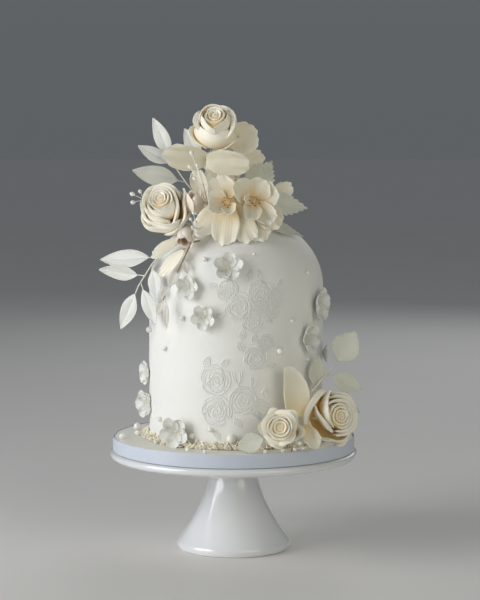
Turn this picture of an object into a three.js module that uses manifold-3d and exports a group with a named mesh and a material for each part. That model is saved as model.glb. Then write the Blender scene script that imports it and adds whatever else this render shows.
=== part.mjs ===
// A tall domed wedding cake, covered in ivory sugar paste, on a ribboned cake board and a
// glazed ceramic pedestal stand. Wired sugar roses, open flowers, leaves and buds sit on its
// crown and at its right foot, and small blossoms and pearls are scattered over it.
// Millimetres, +Z up, origin at the middle of the stand's foot. The cake's front faces -Y.
import * as THREE from "three";
import { mergeVertices } from "three/addons/utils/BufferGeometryUtils.js";
import Module from "manifold-3d";

const wasm = await Module();
wasm.setup();

// Driving dimensions of the stand, board and cake
const GAP = 0.35; // clearance kept between touching pieces
const FOOT_RADIUS = 60;
const NECK_RADIUS = 25.5;
const NECK_HEIGHT = 80;
const PLATE_RADIUS = 130;
const PLATE_TOP = 105;
const PLATE_EDGE = 9;
const BOARD_RADIUS = 126;
const BOARD_TOP = 119;
const RIBBON_THICKNESS = 0.8;
const RIBBON_RISE = 0.7; // how far the ribbon's edge stands above the board's icing
const CAKE_RADIUS = 91;
const CAKE_SHIFT = 2.5; // the cake stands a little right of the board's middle
const SHOULDER_HEIGHT = 277; // where the dome begins
const CAKE_TOP = 353;
const ROUND_SEGMENTS = 36;
const PASTE = 1.3; // thickness of petals and leaves
const WAVES = 2.5; // half waves along a petal's ruffled edge
const WIRE = 0.9; // radius of a taped wire
const SMOOTHING = 0.18; // how far a finished piece may lose detail, less than the gap

const radians = THREE.MathUtils.degToRad;
const vec = (p) => new THREE.Vector3(...p);

// ---------- solids ----------

// A closed geometry as a manifold solid, with shared vertices merged and empty faces dropped.
function solidOf(geometry) {
  const bare = new THREE.BufferGeometry();
  bare.setAttribute("position", geometry.getAttribute("position"));
  if (geometry.index) bare.setIndex(geometry.index);
  const merged = mergeVertices(bare, 1e-4);
  const index = merged.index.array;
  const faces = [];
  for (let i = 0; i < index.length; i += 3) {
    const [a, b, c] = index.slice(i, i + 3);
    if (a !== b && b !== c && a !== c) faces.push(a, b, c);
  }
  return new wasm.Manifold(
    new wasm.Mesh({
      numProp: 3,
      vertProperties: new Float32Array(merged.attributes.position.array),
      triVerts: new Uint32Array(faces),
    }),
  );
}

function geometryOf(solid) {
  const mesh = solid.getMesh();
  const positions = new Float32Array(mesh.numVert * 3);
  for (let i = 0; i < mesh.numVert; i++) {
    const start = i * mesh.numProp;
    positions.set(mesh.vertProperties.subarray(start, start + 3), i * 3);
  }
  const geometry = new THREE.BufferGeometry();
  geometry.setAttribute("position", new THREE.BufferAttribute(positions, 3));
  geometry.setIndex(new THREE.BufferAttribute(new Uint32Array(mesh.triVerts), 1));
  geometry.computeVertexNormals();
  return geometry;
}

const union = (solids) => solids.reduce((whole, next) => whole.add(next));
const moved = (solid, matrix) => solid.transform(matrix.elements);

function fromFaces(points, faces) {
  const geometry = new THREE.BufferGeometry();
  const flat = new Float32Array(points.flatMap((p) => [p.x, p.y, p.z]));
  geometry.setAttribute("position", new THREE.BufferAttribute(flat, 3));
  geometry.setIndex(faces);
  return solidOf(geometry);
}

// The directions along and across surface(u, v) and its normal, by small differences.
function tangents(surface, u, v) {
  const step = 1e-3;
  const along = surface(Math.min(1, u + step), v).sub(surface(Math.max(0, u - step), v));
  const across = surface(u, v + step).sub(surface(u, v - step));
  const normal = along.clone().cross(across);
  return { along: along.normalize(), across: across.normalize(), normal: normal.normalize() };
}

// A thin closed solid around surface(u, v), for u from 0 to 1 and v from -1 to 1. It is larger
// all round by grow.
function sheet(surface, rows, columns, grow) {
  const points = [];
  for (const side of [1, -1])
    for (let i = 0; i <= rows; i++)
      for (let j = 0; j <= columns; j++) {
        const u = i / rows;
        const v = (2 * j) / columns - 1;
        const { along, across, normal } = tangents(surface, u, v);
        const point = surface(u, v).addScaledVector(normal, side * (PASTE / 2 + grow));
        if (i === rows) point.addScaledVector(along, grow);
        if (Math.abs(v) === 1) point.addScaledVector(across, v * grow);
        points.push(point);
      }
  const top = (i, j) => i * (columns + 1) + j;
  const under = (i, j) => (rows + 1) * (columns + 1) + top(i, j);
  const faces = [];
  const quad = (a, b, c, d) => faces.push(a, b, c, a, c, d);
  for (let i = 0; i < rows; i++)
    for (let j = 0; j < columns; j++) {
      quad(top(i, j), top(i + 1, j), top(i + 1, j + 1), top(i, j + 1));
      // the same diagonal as the face above, turned to face down
      faces.push(under(i, j), under(i + 1, j + 1), under(i + 1, j));
      faces.push(under(i, j), under(i, j + 1), under(i + 1, j + 1));
    }
  for (let i = 0; i < rows; i++) {
    quad(top(i + 1, 0), top(i, 0), under(i, 0), under(i + 1, 0));
    quad(top(i, columns), top(i + 1, columns), under(i + 1, columns), under(i, columns));
  }
  for (let j = 0; j < columns; j++) {
    quad(top(rows, j + 1), top(rows, j), under(rows, j), under(rows, j + 1));
    quad(top(0, j), top(0, j + 1), under(0, j + 1), under(0, j));
  }
  return fromFaces(points, faces);
}

// A thin closed solid around a round surface(angle, t), t from 0 in the middle to 1 at the rim.
// Its inner face lies towards the middle and up, and it is larger all round by grow.
function roundSheet(surface, spokes, rings, grow) {
  const points = [];
  for (const side of [1, -1]) {
    const lift = side * (PASTE / 2 + grow);
    points.push(surface(0, 0).add(new THREE.Vector3(0, 0, lift)));
    for (let k = 1; k <= rings; k++)
      for (let i = 0; i < spokes; i++) {
        const angle = (2 * Math.PI * i) / spokes;
        const point = surface(angle, k / rings);
        const slope = point.clone().sub(surface(angle, (k - 0.7) / rings)).normalize();
        const around = new THREE.Vector3(-point.y, point.x, 0).normalize();
        point.addScaledVector(slope.clone().cross(around), lift);
        if (k === rings) point.addScaledVector(slope, grow);
        points.push(point);
      }
  }
  const half = 1 + spokes * rings;
  const at = (base, k, i) => (k === 0 ? base : base + 1 + (k - 1) * spokes + (i % spokes));
  const faces = [];
  for (let i = 0; i < spokes; i++) {
    for (let k = 0; k < rings; k++) {
      faces.push(at(0, k, i), at(0, k + 1, i), at(0, k + 1, i + 1));
      faces.push(at(half, k, i), at(half, k + 1, i + 1), at(half, k + 1, i));
      if (k === 0) continue;
      faces.push(at(0, k, i), at(0, k + 1, i + 1), at(0, k, i + 1));
      faces.push(at(half, k, i), at(half, k, i + 1), at(half, k + 1, i + 1));
    }
    const [a, b] = [at(0, rings, i), at(0, rings, i + 1)];
    const [c, d] = [at(half, rings, i), at(half, rings, i + 1)];
    faces.push(b, a, c, b, c, d);
  }
  return fromFaces(points, faces);
}

// A tube with closed ends through a smooth curve, its radius going from the first to the last.
function tube(path, startRadius, endRadius, sides = 5, steps = 4) {
  const curve = new THREE.CatmullRomCurve3(path);
  const frames = curve.computeFrenetFrames(steps, false);
  const points = [];
  for (let i = 0; i <= steps; i++) {
    const middle = curve.getPointAt(i / steps);
    const radius = THREE.MathUtils.lerp(startRadius, endRadius, i / steps);
    for (let k = 0; k < sides; k++) {
      const angle = (2 * Math.PI * k) / sides;
      points.push(
        middle
          .clone()
          .addScaledVector(frames.normals[i], radius * Math.cos(angle))
          .addScaledVector(frames.binormals[i], radius * Math.sin(angle)),
      );
    }
  }
  const faces = [];
  for (let i = 0; i < steps; i++)
    for (let k = 0; k < sides; k++) {
      const [a, b] = [i * sides + k, i * sides + ((k + 1) % sides)];
      faces.push(a, b, b + sides, a, b + sides, a + sides);
    }
  const last = steps * sides;
  for (let k = 1; k < sides - 1; k++) {
    faces.push(0, k + 1, k);
    faces.push(last, last + k, last + k + 1);
  }
  const made = fromFaces(points, faces);
  return made.volume() > 0 ? made : solidOf(turnedInsideOut(points, faces));
}

function turnedInsideOut(points, faces) {
  const geometry = new THREE.BufferGeometry().setFromPoints(points);
  const turned = [];
  for (let i = 0; i < faces.length; i += 3) turned.push(faces[i], faces[i + 2], faces[i + 1]);
  return geometry.setIndex(turned);
}

function lathe(profile, segments = ROUND_SEGMENTS) {
  const outline = profile.map(([radius, height]) => new THREE.Vector2(radius, height));
  return solidOf(new THREE.LatheGeometry(outline, segments).rotateX(Math.PI / 2));
}

// A small ball, stretched by scale, at a place.
function ball(place, radius, scale = [1, 1, 1]) {
  const geometry = new THREE.IcosahedronGeometry(radius, 0);
  return solidOf(geometry.scale(...scale).translate(...place));
}

// ---------- where pieces go ----------

// Azimuth 0 looks out of the cake's front, 90 to the right, in degrees.
function direction(azimuth, elevation) {
  const [a, e] = [radians(azimuth), radians(elevation)];
  return new THREE.Vector3(
    Math.sin(a) * Math.cos(e),
    -Math.cos(a) * Math.cos(e),
    Math.sin(e),
  );
}

// A frame at a point whose Z looks along facing.
function facingFrame(origin, facing, twist = 0) {
  const turn = new THREE.Quaternion().setFromUnitVectors(new THREE.Vector3(0, 0, 1), facing);
  const spin = new THREE.Quaternion().setFromAxisAngle(new THREE.Vector3(0, 0, 1), radians(twist));
  return new THREE.Matrix4().compose(vec(origin), turn.multiply(spin), vec([1, 1, 1]));
}

// A frame at base whose X runs to tip and whose Z is nearest to face.
function alongFrame(base, tip, face) {
  const x = vec(tip).sub(vec(base)).normalize();
  const z = vec(face).addScaledVector(x, -vec(face).dot(x)).normalize();
  const y = z.clone().cross(x);
  return new THREE.Matrix4().makeBasis(x, y, z).setPosition(...base);
}

const distance = (a, b) => vec(a).distanceTo(vec(b));

// The dome is half an ellipsoid over the cake's upright side.
const DOME_HEIGHT = CAKE_TOP - SHOULDER_HEIGHT;

function cakeRadiusAt(height) {
  const rise = Math.max(0, height - SHOULDER_HEIGHT) / DOME_HEIGHT;
  return CAKE_RADIUS * Math.sqrt(Math.max(0, 1 - rise * rise));
}

function onCake(azimuth, height, lift = 0) {
  const out = direction(azimuth, 0);
  const radius = cakeRadiusAt(height);
  const rise = Math.max(0, height - SHOULDER_HEIGHT) / DOME_HEIGHT ** 2;
  const facing = out.clone().multiplyScalar(radius / CAKE_RADIUS ** 2);
  facing.z = rise;
  facing.normalize();
  const place = out.multiplyScalar(radius).addScaledVector(facing, lift);
  return { place: [place.x + CAKE_SHIFT, place.y, place.z + height], facing };
}

// ---------- stand, board, ribbon and cake ----------

function stand() {
  const profile = [[0, 0], [FOOT_RADIUS - 2.5, 0], [FOOT_RADIUS, 2.5], [FOOT_RADIUS, 7]];
  const flareSteps = 6;
  for (let i = 1; i <= flareSteps; i++) {
    const t = i / flareSteps;
    const flare = (1 - t) ** 1.65; // how the trumpet foot opens
    profile.push([
      NECK_RADIUS + (FOOT_RADIUS - NECK_RADIUS) * flare,
      7 + (NECK_HEIGHT - 7) * t,
    ]);
  }
  profile.push([NECK_RADIUS + 1.5, NECK_HEIGHT + 8]);
  profile.push([NECK_RADIUS + 10, PLATE_TOP - PLATE_EDGE - 2]);
  profile.push([PLATE_RADIUS - 4, PLATE_TOP - PLATE_EDGE]);
  profile.push([PLATE_RADIUS, PLATE_TOP - 0.7 * PLATE_EDGE]);
  profile.push([PLATE_RADIUS, PLATE_TOP - 2.2]);
  profile.push([PLATE_RADIUS - 2.2, PLATE_TOP]);
  profile.push([0, PLATE_TOP]);
  return lathe(profile);
}

const BOARD_BOTTOM = PLATE_TOP + GAP;

// Loose pearls on the board: azimuth, distance from the middle, radius
const BOARD_PEARLS = [
  [-108, 109, 4], [-88, 101, 3.1], [-77, 119, 3.2], [-131, 118, 2.6], [-54, 98, 2.3],
  [-24, 112, 2.5], [-13.5, 120, 2.2], [15, 121.5, 2.3], [24, 121.5, 2.5],
  [128, 108, 3.4], [174, 110, 2.3], [-160, 115, 3],
];

function board(grow) {
  const profile = [
    [0, BOARD_BOTTOM], [BOARD_RADIUS, BOARD_BOTTOM], [BOARD_RADIUS, BOARD_TOP - 1.2],
    [BOARD_RADIUS - 1.2, BOARD_TOP], [0, BOARD_TOP],
  ];
  const pearls = BOARD_PEARLS.map(([azimuth, out, radius]) => {
    const place = direction(azimuth, 0).multiplyScalar(out).setZ(BOARD_TOP + radius * 0.85);
    return ball(place.toArray(), radius + grow);
  });
  return union([lathe(profile), ...pearls]);
}

function ribbon() {
  const inner = BOARD_RADIUS + GAP;
  const outer = inner + RIBBON_THICKNESS;
  const [low, high] = [BOARD_BOTTOM + GAP, BOARD_TOP + RIBBON_RISE];
  return lathe([[inner, low], [outer, low], [outer, high], [inner, high], [inner, low]]);
}

// Pearls pressed into the icing: azimuth, height, radius. Those from 90 round to -90 are behind.
const CAKE_PEARLS = [
  [-22, 309, 2.7], [13.4, 315, 1.3], [54, 294, 2.4], [16, 287, 1.3], [38, 247, 2.4],
  [28.6, 217, 3.5], [52, 206, 2.5], [-52, 217, 2.6], [-76, 233, 3.4], [-36, 250, 2.7],
  [-16.4, 138.5, 2.5], [-29, 131, 2.9], [-2.8, 130, 4.6], [-58, 143, 2.6],
  [108, 252, 2.6], [134, 205, 3.2], [163, 262, 2.5], [-172, 178, 3.3], [-150, 290, 2.5],
  [-118, 262, 2.7], [-110, 190, 3.1],
];

const CAKE_BOTTOM = BOARD_TOP + GAP;

function cake() {
  const profile = [
    [0, CAKE_BOTTOM], [CAKE_RADIUS - 1.5, CAKE_BOTTOM], [CAKE_RADIUS, CAKE_BOTTOM + 2],
    [CAKE_RADIUS, SHOULDER_HEIGHT],
  ];
  const domeSteps = 7;
  for (let i = 1; i <= domeSteps; i++) {
    const angle = (Math.PI / 2) * (i / domeSteps);
    const radius = i === domeSteps ? 0 : CAKE_RADIUS * Math.cos(angle);
    profile.push([radius, SHOULDER_HEIGHT + DOME_HEIGHT * Math.sin(angle)]);
  }
  const body = moved(lathe(profile), new THREE.Matrix4().makeTranslation(CAKE_SHIFT, 0, 0));
  const pearls = CAKE_PEARLS.map(([azimuth, height, radius]) => {
    const { place } = onCake(azimuth, height, radius * 0.6);
    return ball(place, radius);
  });
  return union([body, ...pearls]);
}

// A lumpy edging of sugar crumbs round the cake's foot.
function border(grow) {
  const steps = 46;
  const section = [[0, 0], [1, 0], [0.8, 0.75], [0, 1]];
  const points = [];
  for (let i = 0; i < steps; i++) {
    const angle = (2 * Math.PI * i) / steps;
    const width = 6 + 1.6 * Math.sin(7 * i) + 1.2 * Math.sin(2.9 * i) + grow;
    const height = 6.2 + 1.5 * Math.sin(5.3 * i) + 1.1 * Math.sin(1.7 * i) + grow;
    for (const [out, up] of section) {
      const radius = CAKE_RADIUS + GAP + out * width;
      points.push(
        new THREE.Vector3(
          CAKE_SHIFT + radius * Math.sin(angle),
          -radius * Math.cos(angle),
          BOARD_TOP + GAP + up * height,
        ),
      );
    }
  }
  const faces = [];
  const size = section.length;
  for (let i = 0; i < steps; i++)
    for (let k = 0; k < size; k++) {
      const [a, b] = [i * size + k, i * size + ((k + 1) % size)];
      const [c, d] = [a, b].map((n) => (n + size) % (steps * size));
      faces.push(a, d, b, a, c, d);
    }
  return fromFaces(points, faces);
}

// ---------- petals ----------

// A petal or leaf that lies along X: its half width by u, its rise by u and v.
// round lowers the corners of the tip, cup lifts the sides, arch bends it along its length,
// and ruffle waves its edge.
function petalSurface({ length, width, neck = 0.2, round = 0.3, cup = 0, arch = 0, ruffle = 0 }) {
  return (u, v) => {
    const spread = neck + (1 - neck) * Math.sin(Math.min(1, u * 1.15) * (Math.PI / 2)) ** 0.9;
    const reach = u * (1 - round * u * Math.abs(v) ** 2.2);
    const edge = u * u * (0.35 + 0.65 * v * v);
    const side = (width / 2) * spread * v * (1 - 0.12 * u * v * v);
    const rise =
      cup * width * v * v * spread +
      arch * length * (u * u - u * 0.35) +
      ruffle * edge * Math.sin(Math.PI * WAVES * v);
    return new THREE.Vector3(length * reach, side, rise);
  };
}

const petal = (shape, grow) => sheet(petalSurface(shape), 3, 4, grow);

// A pointed leaf along X, folded along its middle. belly is where it is widest, and stalk the
// share of its length that is bare stem.
function leafSurface({ length, width, fold = 0.15, arch = 0.1, belly = 0.42, stalk = 0 }) {
  return (u, v) => {
    const inner = Math.max(0, (u - stalk) / (1 - stalk));
    const shape =
      inner < belly
        ? Math.sin((inner / belly) * (Math.PI / 2)) ** 0.8
        : Math.cos(((inner - belly) / (1 - belly)) * (Math.PI / 2)) ** 0.85;
    const half = Math.max(0.7, (width / 2) * shape);
    const rise = fold * Math.abs(v) * half + arch * length * inner * (inner - 0.9);
    return new THREE.Vector3(length * u, half * v, rise);
  };
}

const leaf = (shape, grow) => sheet(leafSurface(shape), shape.width > 12 ? 4 : 3, 2, grow);

// ---------- roses ----------

// A rose's outline from its calyx, over three rings of petals, to its heart: share of the
// radius, share of the height, and which ring it shapes (none at 0)
const ROSE_OUTLINE = [
  [0, -0.18, 0], [0.3, -0.1, 0], [0.84, 0.27, 1], [1, 0.62, 1], [0.93, 0.68, 1],
  [0.55, 0.34, 0], [0.67, 0.82, 2], [0.59, 0.86, 2], [0.34, 0.5, 0], [0.38, 0.97, 3],
  [0.3, 0.98, 3], [0.13, 0.72, 0], [0, 1.05, 0],
];
const ROSE_PETALS = [0, 5, 5, 3]; // petals in each ring
const ROSE_TURNS = [0, 0, 1, 2]; // spokes by which each ring is turned
const ROSE_SPOKES = 15;

// Petals lie over each other: one side of a petal stands out and the other is tucked in.
const ROSE_TUCK = 0.17;
const ROSE_DIP = 0.07; // how far a petal's sides lie below its middle, as a share of the height

function rose({ radius, height }, grow) {
  const swollen = swell(ROSE_OUTLINE.map(([r, h, ring]) => [r * radius, h * height, ring]), grow);
  const bottom = new THREE.Vector3(0, 0, swollen[0][1]);
  const top = new THREE.Vector3(0, 0, swollen.at(-1)[1]);
  const loops = swollen.slice(1, -1).map(([r, h, ring]) =>
    Array.from({ length: ROSE_SPOKES }, (_, i) => {
      const each = ROSE_SPOKES / (ROSE_PETALS[ring] || 1);
      const share = ring ? ((i + ROSE_TURNS[ring]) % each) / each : 0;
      const angle = (2 * Math.PI * i) / ROSE_SPOKES;
      const out = r * (1 - ROSE_TUCK * share);
      const drop = ring ? ROSE_DIP * height * (3 * share - 1) ** 2 : 0;
      return new THREE.Vector3(out * Math.cos(angle), out * Math.sin(angle), h - drop);
    }),
  );
  return fromLoops(bottom, loops, top);
}

// The outline moved outwards by grow, each point square to its neighbours.
function swell(outline, grow) {
  return outline.map(([r, h, ring], i) => {
    const [r0, h0] = outline[Math.max(0, i - 1)];
    const [r1, h1] = outline[Math.min(outline.length - 1, i + 1)];
    const size = Math.hypot(r1 - r0, h1 - h0);
    return [r && r + (grow * (h1 - h0)) / size, h - (grow * (r1 - r0)) / size, ring];
  });
}

// A closed solid from a bottom point, equal loops round +Z, and a top point.
function fromLoops(bottom, loops, top) {
  const size = loops[0].length;
  const points = [bottom, ...loops.flat(), top];
  const last = points.length - 1;
  const faces = [];
  for (let i = 0; i < size; i++) {
    const next = (i + 1) % size;
    faces.push(0, 1 + next, 1 + i);
    for (let k = 0; k < loops.length - 1; k++) {
      const [a, b] = [1 + k * size + i, 1 + k * size + next];
      faces.push(a, b, b + size, a, b + size, a + size);
    }
    faces.push(last, last - size + i, last - size + next);
  }
  return fromFaces(points, faces);
}

// ---------- open flowers, blossoms and buds ----------

// Petals round +Z, each turned to its azimuth and raised by its lift, over a small boss.
function openFlower(petals, bossRadius, grow) {
  const boss = ball([0, 0, 0], bossRadius + grow, [1, 1, 0.8]);
  return union([
    boss,
    ...petals.map(({ azimuth, lift, forward = 0, reach, ...more }) => {
      const shape = { ...more, length: reach - 0.7 * bossRadius, neck: 0.14 };
      const turn = new THREE.Matrix4()
        .makeRotationZ(radians(azimuth))
        .multiply(new THREE.Matrix4().makeTranslation(0.7 * bossRadius, 0, forward))
        .multiply(new THREE.Matrix4().makeRotationY(-radians(lift)));
      return moved(sheet(petalSurface(shape), shape.length > 23 ? 3 : 2, 3, grow), turn);
    }),
  ]);
}

// A cupped blossom of five rounded petals with its back at the origin.
function blossom({ radius }, grow) {
  const petals = 5;
  const surface = (angle, t) => {
    const lobe = Math.abs(Math.sin((petals * angle) / 2));
    const out = radius * t * (0.7 + 0.33 * lobe);
    const up = PASTE / 2 + GAP + 0.45 * radius * t;
    return new THREE.Vector3(out * Math.cos(angle), out * Math.sin(angle), up);
  };
  return roundSheet(surface, petals * 3, 1, grow);
}

// A straight wire between two places.
function wire(from, to, grow, radius = WIRE) {
  const run = vec(to).sub(vec(from));
  const full = radius + grow;
  const rod = lathe([[0, 0], [full, 0], [full, run.length()], [0, run.length()]], 4);
  return moved(rod, facingFrame(from, run.normalize()));
}

// A drop-shaped bud on a straight wire from the sprig's root.
function drop(root, place, radius, grow) {
  const run = vec(place).sub(vec(root));
  const [length, full, thin] = [run.length(), radius + grow, WIRE * 0.8 + grow];
  const outline = [[0, 0], [thin, 0], [thin, length - full * 1.4], [full, length], [0, length + full]];
  return moved(lathe(outline, 5), facingFrame(root, run.normalize()));
}

// A sprig of drops that share a root, on a wire from its foot.
const sprig = ({ foot, root, drops }, grow) =>
  union([
    wire(foot, root, grow),
    ball(root, WIRE * 1.8 + grow),
    ...drops.map(([x, y, z, radius]) => drop(root, [x, y, z], radius, grow)),
  ]);

// A stem with leaves wired to it. Each leaf goes from its base to its tip and faces a way.
function spray({ stem, leaves }, grow) {
  const path = stem.map(vec);
  const marks = new THREE.CatmullRomCurve3(path).getSpacedPoints(30);
  const made = leaves.map(({ near, tip, face, ...shape }) => {
    const base = marks.reduce((a, b) => (a.distanceTo(vec(near)) < b.distanceTo(vec(near)) ? a : b));
    const length = base.distanceTo(vec(tip));
    return moved(leaf({ ...shape, length, stalk: 0.16 }, grow), alongFrame(base, tip, face));
  });
  return union([tube(path, WIRE * 1.5 + grow, WIRE * 1.1 + grow, 3, path.length + 1), ...made]);
}

// A half-open bud: a pointed cup round a small core, opening along +Z.
function tulipBud({ radius, height }, grow) {
  const cup = (angle, t) => {
    const point = 0.5 + 0.5 * Math.cos(3 * angle);
    const out = radius * (0.95 * Math.sin(t * 0.75 * Math.PI) + 0.25 * t);
    const up = height * t * (0.72 + 0.28 * point);
    return new THREE.Vector3(out * Math.cos(angle), out * Math.sin(angle), up);
  };
  const core = ball([0, 0, 0.4 * height], 0.5 * radius + grow, [1, 1, height / radius / 1.5]);
  return union([core, roundSheet(cup, 12, 2, grow)]);
}

// ---------- the arrangement ----------

// Roses: centre, the way the heart faces, outer radius, height, twist and the foot of its wire
const ROSES = [
  { name: "rose_top", centre: [-15, -17, 441], azimuth: -6, elevation: 36, radius: 29, height: 33,
    twist: 20 },
  { name: "rose_left", centre: [-72.5, -28, 353], azimuth: -12, elevation: 28, radius: 31,
    height: 33, twist: 60, foot: [-44, -14, 342] },
  { name: "rose_large", centre: [94, -80, 152], azimuth: 27, elevation: 8, radius: 30, height: 32,
    twist: 100 },
  { name: "rose_small", centre: [46.5, -113, 144], azimuth: 0, elevation: 12, radius: 23.5,
    height: 24, twist: 10 },
  { name: "rose_back", centre: [-12, 38, 369], azimuth: 184, elevation: 30, radius: 25, height: 27,
    twist: 40, foot: [-8, 14, 351] },
  { name: "rose_back_right", centre: [35, 22, 362], azimuth: 112, elevation: 30, radius: 20,
    height: 23, twist: 70, foot: [22, 12, 350] },
];

// Open flowers: their petals go anticlockwise from the right as seen by someone facing them
const OPEN_FLOWERS = [
  {
    name: "open_flower_left", foot: [-6, -30, 348.5], centre: [-5, -57, 365], azimuth: -8,
    elevation: 22, boss: 5,
    petals: [
      { azimuth: 110, lift: 22, reach: 28, width: 30, cup: 0.1, arch: 0.1, ruffle: 1.6 },
      { azimuth: 160, lift: 12, reach: 27, width: 25, cup: 0.1, arch: -0.1, ruffle: 1.2 },
      { azimuth: 208, lift: 2, reach: 41, width: 29, cup: 0.06, arch: -0.15, ruffle: 2 },
      { azimuth: 263, lift: 0, reach: 45, width: 33, cup: 0.08, arch: -0.12, ruffle: 2.4 },
      { azimuth: 316, lift: 0, reach: 40, width: 28, cup: 0.06, arch: -0.15, ruffle: 2 },
      { azimuth: 205, lift: 34, forward: 2.5, reach: 22, width: 22, cup: 0.18, arch: 0.1 },
      { azimuth: 288, lift: 38, forward: 2.5, reach: 20, width: 17, cup: 0.2, arch: 0.15 },
    ],
  },
  {
    name: "open_flower_right", foot: [14, -28, 349], centre: [20, -54, 367], azimuth: 10,
    elevation: 18, boss: 4.5,
    petals: [
      { azimuth: 118, lift: 40, reach: 24, width: 26, cup: 0.12, arch: 0.12, ruffle: 1.4 },
      { azimuth: 62, lift: 24, reach: 27, width: 27, cup: 0.12, arch: 0.14, ruffle: 1.6 },
      { azimuth: 8, lift: 20, reach: 26, width: 28, cup: 0.12, arch: 0.14, ruffle: 1.4 },
      { azimuth: 319, lift: 6, reach: 41, width: 30, cup: 0.1, arch: -0.05, ruffle: 2 },
      { azimuth: 278, lift: 10, reach: 42, width: 28, cup: 0.12, arch: -0.05, ruffle: 1.8 },
      { azimuth: 170, lift: 52, forward: 2, reach: 15, width: 15, cup: 0.2, arch: 0.1 },
    ],
  },
  {
    name: "open_flower_back", foot: [-13, 0, 392], centre: [-13, 14, 401], azimuth: 176,
    elevation: 14, boss: 4.5,
    petals: [
      { azimuth: 20, lift: 12, reach: 23, width: 24, cup: 0.1, arch: 0.05, ruffle: 1.6 },
      { azimuth: 92, lift: 16, reach: 23, width: 26, cup: 0.1, arch: 0.1, ruffle: 1.6 },
      { azimuth: 165, lift: 12, reach: 23, width: 24, cup: 0.1, arch: 0.05, ruffle: 1.6 },
      { azimuth: 235, lift: 6, reach: 23, width: 25, cup: 0.1, arch: -0.1, ruffle: 1.6 },
      { azimuth: 305, lift: 6, reach: 23, width: 25, cup: 0.1, arch: -0.1, ruffle: 1.6 },
    ],
  },
];

// Single big petals: base, tip, facing, width and bend
const LOOSE_PETALS = [
  { name: "petal_top_right", base: [-6, -6, 426], tip: [25, -8, 436], face: [0.1, -1, -0.1],
    width: 38, cup: 0.1, arch: 0.06 },
  { name: "petal_top_left", foot: [-13, -4, 402], base: [-27, -10, 409], tip: [-73, -14, 413],
    face: [-0.1, -1, -0.3], width: 32, cup: 0.06, arch: -0.1, ruffle: 1.6 },
  { name: "petal_top_front", foot: [-12, -5, 396], base: [-24, -16, 406], tip: [13, -36, 399],
    face: [0, -0.9, 0.1], width: 28, cup: 0.1, arch: -0.15, ruffle: 1.6 },
  { name: "petal_top_back", foot: [-11, -4, 388], base: [2, -2, 398], tip: [31, 3, 414],
    face: [0.1, -1, 0.1], width: 24, cup: 0.08, arch: 0.05, ruffle: 1.2 },
  { name: "petal_middle", foot: [-21, -20, 350], base: [-32, -30, 372], tip: [-38, -34, 399],
    face: [-0.2, -1, 0.1], width: 20, cup: 0.12, arch: 0.08 },
  { name: "petal_right", foot: [26, -4, 350], base: [36, -4, 362], tip: [60, 1, 383],
    face: [0.1, -1, 0.1], width: 22, cup: 0.08, arch: 0.08, ruffle: 1 },
  { name: "petal_left_inner", foot: [-46, -52, 324], base: [-56, -62, 327], tip: [-84, -56, 311],
    face: [-0.1, -0.7, 0.6], width: 17, cup: 0.14, arch: -0.08 },
  { name: "petal_left_outer", foot: [-46, -62, 316], base: [-50, -72, 318], tip: [-75, -67, 293],
    face: [-0.4, -0.8, 0.2], width: 15, cup: 0.1, arch: -0.1 },
  { name: "petal_side_left", foot: [-13, -3, 393], base: [-19, -1, 394], tip: [-22, 4, 419],
    face: [-1, 0.1, 0.1], width: 26, cup: 0.1, arch: 0.1, ruffle: 1.4 },
  { name: "petal_side_right", foot: [-10, -4, 370], base: [-2, 3, 371], tip: [2, 10, 396],
    face: [1, 0.1, -0.1], width: 28, cup: 0.1, arch: 0.1, ruffle: 1.4 },
  { name: "petal_upright", foot: [67, -93, 121], base: [67, -91, 152], tip: [63.5, -90, 202],
    face: [0.15, -1, 0], width: 31, cup: 0.08, arch: 0.04 },
  { name: "petal_fallen", foot: [68, -98, 121], base: [69, -103, 145], tip: [83, -111, 122.5],
    face: [0.2, -0.9, 0.3], width: 20, cup: 0.12, arch: 0.15, ruffle: 1.4 },
];

// Single leaves
const LEAVES = [
  { name: "leaf_crown_right", foot: [9, -8, 352.5], base: [16, -12, 372], tip: [40, -2, 407],
    face: [0, -1, 0.1], width: 31 },
  { name: "leaf_right", foot: [20, -10, 350.5], base: [30, -16, 366], tip: [77, -6, 358],
    face: [0.1, -0.9, 0.4], width: 25 },
  { name: "leaf_shoulder", foot: [26, -38, 341], base: [30, -44, 348], tip: [71, -36, 330],
    face: [0.3, -0.5, 0.8], width: 21 },
  { name: "leaf_crown_left", foot: [-12, -4, 392], base: [-36, 2, 408], tip: [-51, 7, 441],
    face: [-0.2, -1, 0], width: 17 },
  { name: "leaf_foot_upright", foot: [76, -54, 174], base: [84, -62, 178], tip: [86.5, -58, 211.5],
    face: [0.4, -0.9, 0], width: 19 },
  { name: "leaf_foot_front", base: [30, -116, 134], tip: [3, -116, 124], face: [-0.1, -0.9, 0.4],
    width: 20 },
  { name: "leaf_foot_back", foot: [84, -44, 154], base: [104, -54, 158], tip: [130, -38, 149],
    face: [0.4, -0.8, 0.3], width: 24 },
];

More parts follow.
